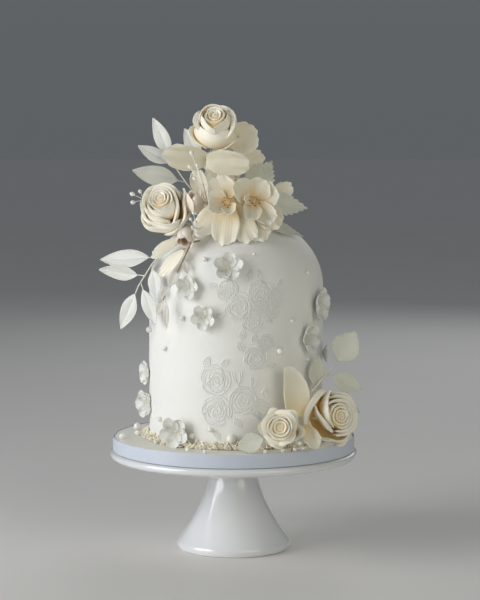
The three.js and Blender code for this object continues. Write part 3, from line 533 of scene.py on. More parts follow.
def bud_lines(height, turn):
    """A line-drawn bud: nested cups on a short stem."""
    t = linspace(-1, 1, 16)
    lines = [linspace(-0.5j, 0j, 5)]
    lines += [width * sin(t * 1.5) + 1j * (t**2 - 0.05) for width in (0.38, 0.2)]
    return [line * height * exp(1j * turn) for line in lines]


# A pressed line: its width and height, the spacing of its marks, and its section, a low ridge
LINE_WIDTH, LINE_RELIEF, LINE_STEP = 1.35, 0.75, 1.05
RIDGE = array([[-1, -0.5], [-0.9, 0.1], [-0.4, 0.85], [0.4, 0.85], [0.9, 0.1], [1, -0.5]])


def press(shape, line, azimuth, height):
    """Draws a line on the icing as a low rounded ridge, fading at its ends."""
    count = max(6, int(abs(np.diff(line)).sum() / LINE_STEP))
    flat = smooth_path(np.stack([line.real, line.imag], axis=1), count)
    spots = [on_cake(azimuth + degrees(x / CAKE_RADIUS), height + y) for x, y in flat]
    places, facings = (array(part)[:, None] for part in zip(*spots))
    beside = unit(np.cross(np.gradient(places, axis=0), facings))
    fade = sin(pi * linspace(0.03, 0.97, count))[:, None, None] ** 0.35
    across = beside * RIDGE[:, :1] * LINE_WIDTH / 2
    shape.add_rings(places + fade * (across + facings * RIDGE[:, 1:] * LINE_RELIEF))


# The pressed pattern: what draws each motif, and its azimuth and height on the cake, size and turn
PRESSED = {
    rose_lines: [
        (-12.5, 188, 15.5, 0.3), (4.5, 169, 14.5, 1.6), (-13, 157, 15.5, 2.7), (12, 211, 12, 0.9),
        (19, 226, 9, 2.6), (2, 262, 14.5, 2.0), (16.5, 276, 13, 0.4), (10.5, 247, 11, 1.1),
        (25.5, 271, 10, 2.2), (-4.5, 281, 9.5, 0.4), (15.5, 262, 8, 3.0), (24, 259, 8.5, 1.7),
        (16, 158, 10.5, 1.2), (158, 196, 15, 0.6), (176, 178, 15, 2.1), (160, 163, 14, 1.2),
    ],
    bud_lines: [
        (1.4, 186, 13, 0.1), (10.5, 182, 10, -0.3), (171, 203, 12, 0.2),
    ],
    leaf_lines: [
        (-20, 201, 13, 1.2), (-9, 202, 11, 0.9), (10, 158, 13, 5.6), (-1, 150, 12, 5.4),
        (19, 201, 12, 0.2), (5, 218, 12, 2.2), (11, 226, 10, 1.4), (5, 240, 11, 4.4),
        (-7, 270, 13, 2.2), (-6.5, 255, 11, 3.4), (18, 254, 13, 5.6), (8, 289, 12, 1.2),
        (27, 281, 11, 0.9), (-12, 281, 11, 2.6), (16, 290, 10, 1.7), (18, 170, 12, 1.3),
        (22, 152, 11, 0.6), (-13, 138, 11, 5.1), (150, 180, 14, 2.8), (-176, 194, 13, 0.5),
        (166, 214, 13, 1.4), (-177, 160, 13, 5.6), (150, 206, 12, 2.0),
    ],
}


def make_pattern():
    """Roses, buds and leaves drawn over the front of the cake, and a patch of them behind."""
    shape = Shape()
    for draw, motifs in PRESSED.items():
        for azimuth, height, size, turn in motifs:
            for line in draw(size, turn):
                press(shape, line, azimuth, height)
    piece("pressed_pattern", shape, ICING, "icing")


# Pearls pressed into the icing: azimuth, height, radius
CAKE_PEARLS = [
    (-22, 309, 2.7), (13.4, 315, 1.3), (54, 294, 2.4), (16, 287, 1.3), (38, 247, 2.4), (28.6, 217, 3.5),
    (52, 206, 2.5), (-52, 217, 2.6), (-76, 233, 3.4), (-36, 250, 2.7), (-16.4, 138.5, 2.5),
    (-29, 131, 2.9), (-2.8, 130, 4.6), (-58, 143, 2.6), (108, 252, 2.6), (134, 205, 3.2),
    (163, 262, 2.5), (-172, 178, 3.3), (-150, 290, 2.5), (-118, 262, 2.7), (-110, 190, 3.1),
]
# Loose pearls on the board: azimuth, distance from the middle, radius
BOARD_PEARLS = [
    (-108, 109, 4), (-88, 101, 3.1), (-77, 119, 3.2), (-131, 118, 2.6), (-54, 98, 2.3), (-24, 112, 2.5),
    (-13.5, 120, 2.2), (15, 121.5, 2.3), (24, 121.5, 2.5), (128, 108, 3.4), (174, 110, 2.3),
    (-160, 115, 3),
]


def make_pearls():
    """Sugar pearls on the cake and on the board."""
    cake, board = Shape(), Shape()
    for azimuth, height, radius in CAKE_PEARLS:
        balls(cake, on_cake(azimuth, height, radius * 0.6)[0], radius, 28, 18)
    for azimuth, out, radius in BOARD_PEARLS:
        balls(board, direction(azimuth) * out + [0, 0, BOARD_TOP + radius * 0.92], radius, 28, 18)
    piece("cake_pearls", cake, PEARL, "icing")
    piece("board_pearls", board, PEARL, "icing")


BEADS, CURLS = 1600, 460


def make_border():
    """The edging round the cake's foot: sugar beads and curls heaped against it on a low bank."""
    shape = Shape()
    angle = rng.uniform(0, 2 * pi, BEADS)
    waves = angle * 7.3
    width = 7.4 + 1.6 * sin(7 * waves) + 1.2 * sin(2.9 * waves)
    height = 7.4 + 1.5 * sin(5.3 * waves) + 1.1 * sin(1.7 * waves)
    lean = rng.uniform(0, pi / 2, BEADS)
    depth = rng.uniform(0.55, 1, BEADS)
    radius = CAKE_RADIUS + GAP + width * cos(lean) * depth
    size = rng.uniform(0.6, 1.5, BEADS)
    top = BOARD_TOP + maximum(size, height * sin(lean) * depth)
    centres = around(radius, angle, top) + [CAKE_SHIFT, 0, 0]
    balls(shape, centres, size, 6, 4, tone=rng.uniform(0, 0.5, BEADS))
    bank = around(CAKE_RADIUS + 2.4, linspace(0, 2 * pi, 120), BOARD_TOP + 2)
    tube(shape, bank + [CAKE_SHIFT, 0, 0], 1.9, 10, 0.3)
    for centre, turn, curl in zip(centres, rng.uniform(0, 6.3, (CURLS, 2)), size):
        t = linspace(0, 1.3 * pi, 8) + turn[0]
        loop = xyz(cos(t), sin(t), 0.5 * sin(2 * t)) * (1.2 + curl)
        tube(shape, loop, 0.5, 5, 0.1, facing_frame(centre, direction(*degrees(turn))))
    piece("sugar_edging", shape, CRUMB, "crumb", "foot_border")


# ---------- petals and leaves ----------


def uv(rows, columns):
    """Along a petal from 0 to 1, and across it from -1 to 1."""
    return linspace(0, 1, rows)[:, None], linspace(-1, 1, columns)


def petal_grid(length, width, cup=0.0, arch=0.0, ruffle=0.0, neck=0.2, round=0.3, peak=0.0,
               blunt=2.2, full=0.7, widest=0.65, brim=0.0, frill=0.5, ribs=0.02, phase=0.0,
               size=FLAT):
    """A petal along X, as in the CAD part, with a frilled edge and fine ribs along it.

    It is widest from the share widest of its length. blunt flattens its tip and peak moves it to
    one side, full rounds its flanks, and brim lifts its +Y side.
    """
    u, v = uv(*size)
    spread = neck + (1 - neck) * sin(minimum(1, u / widest) * pi / 2) ** full
    uneven = 0.025 * sin(7 * v + phase) + 0.018 * sin(15 * v + 2 * phase)
    reach = u * (1 - round * u * abs(v - peak) ** blunt + frill * 1.6 * uneven * u**3)
    side = width / 2 * spread * v * (1 - 0.14 * u * v * v)
    rise = cup * width * v * v * spread + arch * length * (u * u - u * 0.35)
    rise += brim * width * clip(v, 0, 1) ** 5 * u**0.5
    rise += ruffle * u * u * (0.35 + 0.65 * v * v) * sin(pi * 2.5 * v + 0.7 * phase)
    rise += frill * (u**5 * sin(11 * v + phase) + 0.5 * u**7 * sin(23 * v + phase))
    rise += ribs * sin(34 * v + phase) * sin(pi * u) ** 0.6
    return xyz(length * reach, side, rise)


def petal_tone(deep, body):
    """Deep at the foot, partly a dusting and partly painted warm shade, body over the face, and pale
    along the rim.
    """
    u, v = uv(*FLAT)
    face = clip((0.97 - maximum(u, abs(v) * clip(2.5 * u, 0, 1))) / 0.12, 0, 1)
    return maximum(deep * (1 - u) ** 1.6, body * face)


def rim_thin(size, full=PETAL_THICKNESS, rim=0.4):
    """Thickness that falls to the rim's along a petal's tip and sides."""
    u, v = uv(*size)
    return full + (rim - full) * maximum(u**4, abs(v) ** 6 * u)


def leaf_grid(length, width, teeth, stalk):
    """A leaf along X, as in the CAD part. teeth is how many it has on a side, 0 if smooth."""
    belly, veins = 0.42, 0.45  # where it is widest, and how deep its veins are
    u, v = uv(teeth * 7 + 8 if teeth else 34, LEAF_COLUMNS)
    inner = clip((u - stalk) / (1 - stalk), 0, 1)
    early = sin(minimum(inner / belly, 1) * pi / 2) ** 0.8
    late = cos(clip((inner - belly) / (1 - belly), 0, 1) * pi / 2)
    half = width / 2 * np.where(inner < belly, early, late ** (1.15 if teeth else 0.85))
    along = length * u
    if teeth:
        saw = (inner * teeth) % 1.0
        half = half + 0.1 * width * (saw - 0.5) * sin(pi * clip(inner, 0.02, 0.99)) ** 0.5
        along = along + 0.02 * length * saw * abs(v) ** 6
        vein = ((inner * 7.5 - abs(v) * 2.1) % 1.0 - 0.5) / 0.12
        groove = exp(-(vein**2)) * clip(abs(v) * 6, 0, 1)
        relief = veins * (groove * (1 - 0.6 * abs(v)) + 1.4 * exp(-((v / 0.07) ** 2)))
    else:
        relief = 0.05 * sin(26 * v) - 0.35 * veins * exp(-((v / 0.06) ** 2))
    half = maximum(0.35, half)
    rise = 0.15 * abs(v) * half + 0.1 * length * inner * (inner - 0.9)
    rise = rise + relief * sin(pi * inner) ** 0.5
    rise = rise + 0.014 * length * sin(5 * inner + 2 * v) * abs(v)
    return xyz(along, half * v, rise)


def leaf(shape, base, tip, face, width, teeth, stalk=0.0):
    """A leaf, on a bare stalk for that share of its length, with a wire along its back."""
    at, length = blade_frame(base, tip, face), distance(base, tip)
    grid = leaf_grid(length, width, teeth, stalk)
    grid = grid[int(round(stalk * (len(grid) - 1))):]
    size = grid.shape[:2]
    sheet(shape, grid, rim_thin(size, 0.8, 0.45), 0.18 * abs(uv(*size)[1]), at)
    end = stalk + 0.3 if stalk else 0.45
    back = [[length * t, 0, -0.5 - 0.25 * WIRE] for t in (0.0, end / 2, end)]
    tube(shape, smooth_path(back, 8), linspace(0.62, 0.3, 8), 7, 0.15, at)


# ---------- roses ----------


def through(values, v):
    """A smooth curve through evenly spaced values, read at v from -1 to 1."""
    marks = linspace(-1, 1, len(values))
    return np.polyval(np.polyfit(marks, values, len(values) - 1), v)


def cup_petal(turn, span, rim, high, lip=0.8, roll=110, belly=2.0, foot=3.0, low=0.0, deep=1.0,
              outer=0.92, wave=0.3, phase=0.0):
    """A cupped petal round +Z and the tones of its inner and outer faces, deep below the lip: partly a
    dusting and partly painted warm shade in the gaps between petals.

    rim and high are the crest's distances from the axis and heights, in order of angle from
    turn - span to turn + span. Below its crest the petal swells by belly, and above it the lip
    rolls outward through roll degrees.
    """
    u, v = uv(*CUPPED)
    crest = through(rim, v) + wave * sin(5 * v + phase)
    top = through(high, v) + 0.6 * wave * cos(4.2 * v + 1.7 * phase)
    swell, share = crest + belly, 0.66
    s = minimum(u / share, 1)
    b = 1 - s
    radius = foot * b**3 + 2.3 * swell * s * b**2 + 3 * swell * s**2 * b + crest * s**3
    height = low + (top - low) * (0.06 * s * b**2 + 1.86 * s**2 * b + s**3)
    size = np.hypot(belly, 0.38 * (top - low))
    out, up = -belly / size, 0.38 * (top - low) / size
    bend = radians(roll) * clip((u - share) / (1 - share), 0, 1)
    reach = lip * (1 - 0.5 * abs(v) ** 3)
    radius = radius + reach * (sin(bend) * out + (1 - cos(bend)) * up)
    height = height + reach * (sin(bend) * up - (1 - cos(bend)) * out)
    radius = radius + 0.05 * sin(26 * v + phase) * s
    spread = 0.35 + 0.65 * sin(minimum(1, 1.35 * s) * pi / 2)
    angle = radians(turn + span * spread * v)
    # Deep from just below the lip on the inner face, and below outer on the outer one: partly a
    # dusting, partly painted warm shade in the gaps
    inside, outside = deep * clip((0.98 - s) / 0.22, 0, 1), clip((outer - s) / 0.35, 0, 1)
    return xyz(radius * cos(angle), radius * sin(angle), height), inside, outside


def cup_thickness(fill):
    """Thickness of a cupped petal: thin on its lip, thicker below, so that gaps stay shallow."""
    u, v = uv(*CUPPED)
    below = clip((0.64 - u) / 0.08, 0, 1) * clip(u / 0.2, 0, 1)
    return LIP_THICKNESS + (fill - LIP_THICKNESS) * below * (1 - v**6)


def rose_heart(radius, low, high, start):
    """The tight spiral in a rose's middle and its tone, deep low in the spiral: partly a dusting and
    partly painted warm shade.
    """
    turns = 2.2
    u = linspace(0, 1, 12)[:, None]
    t = linspace(0, 1, int(28 * turns))
    angle = start + t * turns * 2 * pi
    out = radius * (0.1 + 0.9 * t**0.9) * (0.75 + 0.35 * sin(2.6 * u)) + 0.3 * u**6
    height = low + (high - 0.05 * (high - low) * t - low) * u
    tone = clip(0.95 - 1.05 * u**2, 0, 1)
    return xyz(out * cos(angle), out * sin(angle), height), tone


def core_profile(closed, heart, height):
    """The cone that the closed petals are pressed round, a little below their rims."""
    rims = sorted((min(form["rim"]), min(form["high"])) for form in closed)
    top = [(r + 0.4, h + 0.4) for r, h in rims[::-1]]
    return [(2, 0), (0.8 * top[0][0], 0.25 * height), *top, (heart * 0.8, height - 1.6)]


def add_petals(shape, at, petals, outer_tone, fill):
    """Adds the petals. fill is how thick they are below their lips, where they don't say."""
    for i, form in enumerate(petals):
        form = {"fill": fill, **form}
        thickness = cup_thickness(form.pop("fill"))
        grid, inside, outside = cup_petal(phase=1.9 * i, **form)
        sheet(shape, grid, thickness, (inside, outer_tone * outside), at)


def petal(turn, span, rim, high, lip=0.8, roll=110, **form):
    """What cup_petal is given for one petal of a rose."""
    return dict(turn=turn, span=span, rim=rim, high=high, lip=lip, roll=roll, **form)


def ring(count, start, span, rim, high, lip, roll, **form):
    """Equal petals round the axis. rim and high are each for their two sides, then their middle."""
    crest = [(side, middle, side) for side, middle in (rim, high)]
    return [petal(start + 360 * k / count, span, *crest, lip, roll, **form) for k in range(count)]


def bud_ring(start, rim, high, lip=1.7, **form):
    """Three closed petals, each with one side tucked under the next, whose lips top out at high."""
    low = high - lip
    crest = (0.93 * rim, rim, 1.08 * rim), (low - 1.4, low, low - 1.4)
    return [petal(start + 120 * k, 82, *crest, lip, 100, wave=0.15, outer=0.99, **form)
            for k in range(3)]


def common_petals(radius, height, start):
    """The outer petals of a rose that opens evenly, in three rings."""
    r, h = radius, height
    return [
        *ring(4, start, 62, (0.55 * r, 0.52 * r), (0.74 * h, 0.82 * h), 3, 104, fill=3),
        *ring(5, start + 30, 52, (0.68 * r, 0.66 * r), (0.5 * h, 0.62 * h), 3.8, 106, wave=0.6,
              deep=0.8, fill=3),
        *ring(5, start, 48, (0.82 * r, 0.8 * r), (0.22 * h, 0.36 * h), 3.6, 104, belly=0, low=-2,
              wave=0.8, deep=0.7),
    ]


# The roses' petals, the inner ones first
TOP_CLOSED = [
    *bud_ring(20, 5.2, 33.2, lip=1.4), *bud_ring(80, 8.4, 32.6),
    petal(215, 58, (15, 12.4, 11.8, 13, 15.5), (26, 30, 31, 30.5, 27), belly=4, outer=0.8),
    petal(325, 72, (15, 12.6, 12, 12.6, 13), (26, 30, 31, 30, 26), belly=4, outer=0.8),
]
TOP_OPENED = [
    petal(100, 78, (15, 14.5, 15.4, 16.4, 17), (23, 27, 28, 27.5, 23), deep=0.35),
    petal(258, 76, (18, 16.4, 15.6, 15.8, 17.4), (14, 20, 21.4, 21, 16), 1.4, 80, belly=12, low=-5,
          deep=1.1, fill=3.4),
    petal(352, 62, (20.5, 18, 15.8, 14.8, 14.5), (4, 12.5, 17, 18.5, 16), 7, 100, fill=4),
    petal(168, 40, (15, 16.6, 17.4, 17, 16), (10, 14, 14.5, 13, 8), 7.5, 94, belly=1, deep=0.9, fill=3),
    petal(206, 40, (25, 28, 28.5, 27, 24), (6, 11, 12, 10, 4), low=-3, belly=-2, deep=0.2),
    petal(310, 40, (22, 24, 24, 24, 22), (0, 5, 7, 6, 0), 1.4, low=-5, belly=0, deep=0.2),
    petal(62, 50, (20, 21, 21), (8, 15, 8), 2.5, low=-2, deep=0.5),
    petal(125, 46, (21, 22, 21), (6, 13, 6), 2.5, low=-2, deep=0.5),
]
LEFT_CLOSED = [
    *bud_ring(40, 4.8, 33, lip=1.4), *bud_ring(100, 7.6, 32.2),
    petal(225, 78, (10.6, 10.2, 10.8), (28, 29, 28), 2.2, 100, outer=0.99),
    petal(110, 70, (10.8, 10.3, 10.8), (28, 29, 28), 2.2, 100, outer=0.99),
    petal(10, 60, (11.4, 10.8, 11), (27.5, 29, 27.5), 1.8, 104, outer=0.99),
    petal(300, 62, (11.6, 11.2, 11.4), (26, 28.2, 27.4), 1.8, 104, belly=9, outer=0.75),
]
LEFT_OPENED = [
    petal(212, 66, (14, 13.6, 13.4, 13.4, 14), (25, 26.4, 26.6, 26, 23.6), 2.2, 104, belly=5,
          outer=0.8),
    petal(356, 60, (25, 19, 15, 14, 17), (14, 21, 25.8, 27, 25), 1.9, 140, fill=4.5, wave=0.5, deep=1.1,
          belly=1),
    petal(352, 50, (29.5, 26, 23.2, 22.8, 25), (7, 15, 19.5, 21.5, 18), 1.9, 135, fill=4.5, wave=1.1,
          deep=1.2),
    petal(80, 62, (13.6, 13.6, 13.6), (25, 26.6, 25), 2.6, 102, deep=0.9),
    petal(190, 60, (17.4, 17.6, 17.5, 17.2, 17), (20.5, 22.4, 22.6, 22, 20), 2.6, 106, wave=0.4,
          belly=5, outer=0.8),
    petal(250, 46, (17.2, 17.2, 17.6, 18.4, 19.6), (19, 21, 21, 19.5, 15.5), 2.2, 125, wave=0.8,
          belly=5, outer=0.8),
    petal(206, 48, (21.6, 21.6, 21.8, 22, 22), (14.5, 17, 17.4, 16.6, 13), 2.8, wave=0.8, low=-3,
          belly=5, deep=0.9, outer=0.8),
    petal(286, 42, (22, 22.6, 24, 25, 26), (13, 16.6, 17, 15, 9), 2.2, 125, wave=1, low=-3, belly=5,
          outer=0.8),
    petal(246, 50, (25.4, 26, 26.2, 26, 25.4), (8, 11.6, 12.4, 11.6, 8), 2.6, 112, wave=1.1, low=-5,
          belly=3, deep=0.8),
    petal(318, 44, (28, 28, 27, 26, 25), (2, 8, 9, 8, 2), 2.4, wave=1, low=-5, belly=1, deep=0.8),
    petal(75, 56, (18, 18.2, 18), (18, 20.6, 18), 3, 104, low=-3, deep=0.7),
    petal(140, 50, (18.4, 19, 19.4), (16, 19.4, 16), 3.4, 104, low=-3, deep=0.7),
    petal(28, 46, (22, 22, 21), (2, 9, 2), 2.4, low=-5, deep=0.6),
]
LARGE_CLOSED = [
    *bud_ring(10, 5, 31.4, lip=1.5), *bud_ring(65, 8, 30.4),
    petal(345, 84, (11.2, 11, 10.8), (25, 26.6, 25), 2.4, 98, outer=0.99),
    petal(100, 76, (11, 10.8, 10.8), (25, 26.8, 25), 2.4, 98, outer=0.99),
]
LARGE_OPENED = [
    petal(168, 72, (26, 17.5, 12.6, 11.4, 12.5), (19, 25.5, 28, 27.5, 24), 1.2, 130, belly=1.5,
          deep=1.1, fill=3),
    petal(340, 84, (14.6, 14.4, 14.2), (22, 24, 22.4), 3.2, 104),
    petal(72, 64, (14.6, 14.2, 15.2), (21.6, 23.6, 22), 3.2, 104),
    petal(200, 50, (22, 17.5, 14.6, 14, 15.2), (13, 19, 22.5, 23, 19), 3.4, 125, belly=1, deep=1.1,
          fill=3),
    petal(332, 66, (18.4, 18.2, 18.4), (17.6, 19.8, 17.6), 3.8, 106, deep=0.9),
    petal(50, 58, (18.4, 18.2, 18.6), (17, 19.4, 17), 3.8, 106, deep=0.9),
    petal(150, 44, (24, 24.5, 25.5, 26.5, 28), (10, 14.5, 14.5, 11.5, 6), 6.4, 112, belly=0, deep=1.1),
    petal(222, 54, (29, 27.5, 26, 25, 25), (9, 13.5, 14.5, 14, 9), 1.1, belly=3, low=-3, deep=1.2),
    petal(290, 46, (24, 24, 26, 25, 23), (10, 13, 13.5, 12.5, 9), 2, belly=3, low=-3, deep=0.8, fill=3),
    petal(345, 50, (22, 22.6, 22), (11, 15.4, 11), 3.4, 108, low=-3, deep=0.7),
    petal(40, 50, (22, 22.6, 22), (11, 15.4, 11), 3.4, 108, low=-3, deep=0.7),
    petal(98, 48, (23, 23, 23), (4, 10, 4), 2.4, belly=1, low=-3, deep=0.6),
    petal(296, 30, (24, 29, 33, 29, 24), (-1, 4, 5, 4, -1), 1, belly=0, low=-4, deep=0.5),
]
SMALL_CLOSED = [
    *bud_ring(15, 5.2, 24.6, lip=1.3, belly=2.4), *bud_ring(70, 8, 24, belly=2.4),
    *bud_ring(20, 10.9, 22.8),
]
SMALL_OPENED = [
    petal(48, 70, (13.2, 12.9, 13.4), (9, 12.4, 10), 5.2, 118, deep=0.5),
    petal(165, 64, (13.4, 12.9, 13), (9, 12, 9), 5.8, 116, deep=0.5),
    petal(238, 54, (13, 13, 13.4), (8, 11.6, 8), 5.8, 114, wave=0.4, deep=0.5),
    petal(300, 56, (13.4, 13, 13), (8, 11.6, 8), 5.8, 114, wave=0.4, deep=0.5),
    petal(112, 44, (14, 14.4, 15.4, 14.4, 14), (1, 4.5, 6, 4.5, 1), 5.4, 108, belly=1, low=-2, wave=1,
          deep=0.3),
    petal(186, 42, (14.5, 15, 16.4, 15, 14.5), (0, 3.5, 5, 3.5, 0), 6, 102, belly=1, low=-3, wave=1.1,
          deep=0.3),
    petal(256, 40, (14.5, 15, 16, 15, 14.5), (0, 3, 4.4, 3, 0), 6.2, 102, belly=1, low=-3, wave=1.2,
          deep=0.3),
    petal(340, 44, (15, 17, 19, 18.4, 16), (0, 4, 5.4, 4, 0), 6.4, 98, belly=1, low=-3, wave=1.2,
          deep=0.5),
    petal(50, 38, (14.5, 15.6, 17, 16, 15), (0, 4, 5.6, 4, 0), 5.8, 104, belly=1, low=-3, wave=1,
          deep=0.4),
]
ROSES = [
    dict(name="rose_top", centre=(-15, -17, 441), azimuth=-6, elevation=36, height=33, shift=(-3, 4),
         heart=3.4, start=0.6, closed=TOP_CLOSED, opened=TOP_OPENED),
    dict(name="rose_left", centre=(-72.5, -28, 353), azimuth=-12, elevation=28, height=33,
         shift=(-0.6, 10), heart=3.2, start=2.0, foot=(-44, -14, 342), fill=3.4, tint=0.8,
         closed=LEFT_CLOSED, opened=LEFT_OPENED),
    dict(name="rose_large", centre=(94, -80, 152), azimuth=27, elevation=8, height=32, shift=(8, -1.5),
         heart=3.4, start=1.0, closed=LARGE_CLOSED, opened=LARGE_OPENED),
    dict(name="rose_small", centre=(46.5, -113, 144), azimuth=0, elevation=12, height=24,
         shift=(-0.4, 0), heart=3.0, start=0.0, closed=SMALL_CLOSED, opened=SMALL_OPENED),
    dict(name="rose_back", centre=(-12, 38, 369), azimuth=184, elevation=30, height=27, shift=(0, 2),
         heart=3.2, start=0.7, foot=(-8, 14, 351),
         closed=[*bud_ring(40, 5.4, 26.8), *bud_ring(95, 8.2, 25.8), *bud_ring(30, 10.8, 24.4)],
         opened=common_petals(26, 27, 20)),
    dict(name="rose_back_right", centre=(35, 22, 362), azimuth=112, elevation=30, height=23,
         shift=(0, 1), heart=2.8, start=2.6, foot=(22, 12, 350),
         closed=[*bud_ring(10, 4.8, 22.8), *bud_ring(65, 7.4, 21.8)], opened=common_petals(21, 23, 50)),
]


def make_rose(name, centre, azimuth, elevation, height, shift, heart, start, closed, opened,
              foot=None, fill=2.4, tint=0.45):
    """A rose that stands height above its calyx, its axis shifted right and up from centre.

    heart and start are its spiral's radius and first angle. The opened petals are fill thick
    below their lips, and tint is their tone outside: painted warm shade on their outer faces below the
    lips.
    """
    facing = direction(azimuth, elevation)
    at = viewer_frame(centre - 0.45 * height * facing, facing)
    calyx = at[:3, 3] - 0.02 * height * facing
    at[:3, 3] += at[:3, :2] @ shift
    shape = Shape()
    grid, tone = rose_heart(heart, 0.3 * height, height, start)
    sheet(shape, grid, 0.8, tone, at, under=0.8)
    # The cone shows only in the gaps between closed petals: its deep tone, like theirs, is partly a
    # dusting and partly painted warm shade
    lathe(shape, core_profile(closed, heart, height), 32, 0.9, at)
    add_petals(shape, at, closed, 0.8, 2.6)
    add_petals(shape, at, opened, tint, fill)
    balls(shape, (0, 0, 0.02 * height), 6, 16, 10, (1, 1, 0.8), at=at)
    if foot:
        wire(shape, foot, calyx)
    piece(name + "_petals", shape, IVORY, "ivory", name)


# ---------- open flowers ----------

# Open flowers. A petal has its azimuth, anticlockwise from the right as seen by someone facing
# it, its lift, how far forward it starts, its reach, width, cup, arch and ruffle.
OPEN_FLOWERS = [
    dict(name="open_flower_left", foot=(-6, -30, 348.5), centre=(-5, -57, 365), azimuth=-8,
         elevation=22, boss=5, stamens=11, petals=[
        (224, 0, 0, 43, 29, 0.06, -0.15, 1.4), (267, 0, 2, 44, 32, 0.05, -0.12, 1.4),
        (303, 0, 0, 46, 30, 0.06, -0.15, 1.4), (118, 16, 0, 30, 33, 0.1, 0.08, 0.6),
        (165, 18, 1, 22, 22, 0.12, 0.1, 0), (222, 30, 2.5, 25, 25, 0.2, 0.16, 0.6),
        (288, 40, 3, 25, 17, 0.3, 0.12, 0),
    ]),
    dict(name="open_flower_right", foot=(14, -28, 349), centre=(20, -54, 367), azimuth=10, elevation=18,
         boss=4.5, stamens=8, petals=[
        (276, 4, 1.5, 43, 30, 0.05, -0.08, 1.3), (310, 8, 0, 38, 31, 0.08, -0.02, 1.3),
        (22, 20, 0, 27, 38, 0.12, 0.12, 0.6), (66, 24, 0, 25, 30, 0.12, 0.12, 0.6),
        (140, 26, 0, 29, 28, 0.14, 0.1, 0.6), (300, 20, 1.5, 33, 25, 0.14, 0.05, 0.6),
        (254, 26, 2.5, 28, 22, 0.2, 0.12, 0.8), (192, 48, 2.5, 17, 14, 0.25, 0.1, 0),
    ]),
    dict(name="open_flower_back", foot=(-13, 0, 392), centre=(-13, 14, 401), azimuth=176, elevation=14,
         boss=4.5, stamens=9, petals=[
        (20, 12, 0, 23, 24, 0.1, 0.05, 1.0), (92, 16, 0, 23, 26, 0.1, 0.1, 1.0),
        (165, 12, 0, 23, 24, 0.1, 0.05, 1.0), (235, 6, 0, 23, 25, 0.1, -0.1, 1.0),
        (305, 6, 0, 23, 25, 0.1, -0.1, 1.0),
    ]),
]


def make_stamens(name, count, boss, at):
    """Threads that lean out of the boss, each with an anther."""
    threads, tips = Shape(), Shape()
    for k in range(count):
        turn, out = 2.4 * k, boss * (0.35 + 0.5 * (k % 3) / 2)
        lean = out * array([cos(turn), sin(turn), 0])
        end = lean * 1.7 + [0, 0, boss * (1.15 + 0.35 * ((k * 5) % 4) / 3)]
        path = [lean * 0.5 + [0, 0, boss * 0.5], lean + [0, 0, boss], end]
        tube(threads, smooth_path(path, 7), 0.28, 6, 0.5, at)
        balls(tips, end, 0.8, 9, 6, (1.2, 0.8, 0.8), at=at)
    piece(name + "_threads", threads, PALE, "ivory")
    piece(name + "_anthers", tips, ANTHER, "rosy")


def make_open_flower(name, foot, centre, azimuth, elevation, boss, stamens, petals):
    """Petals round a domed boss of this radius, from which the stamens grow."""
    at = viewer_frame(centre, direction(azimuth, elevation))
    out = 0.7 * boss
    shape = Shape()
    for i, (turn, lift, forward, reach, width, *form) in enumerate(petals):
        end = 0.36 * width / (reach - out)
        grid = petal_grid(reach - out, width, *form, neck=0.3, round=end, blunt=2.8, full=0.6,
                          widest=1 - end, ribs=0.22, phase=1.7 * i)
        place = at @ petal_frame(turn, forward, out, lift)
        sheet(shape, grid, rim_thin(FLAT), petal_tone(0.9, 0.2), place, under=0.7)
    balls(shape, (0, 0, 0), boss, 16, 10, (1, 1, 0.8), 0.8, at)
    wire(shape, foot, centre)
    piece(name + "_petals", shape, SILK, "ivory", name)
    make_stamens(name, stamens, boss, at)


# ---------- loose petals and leaves ----------

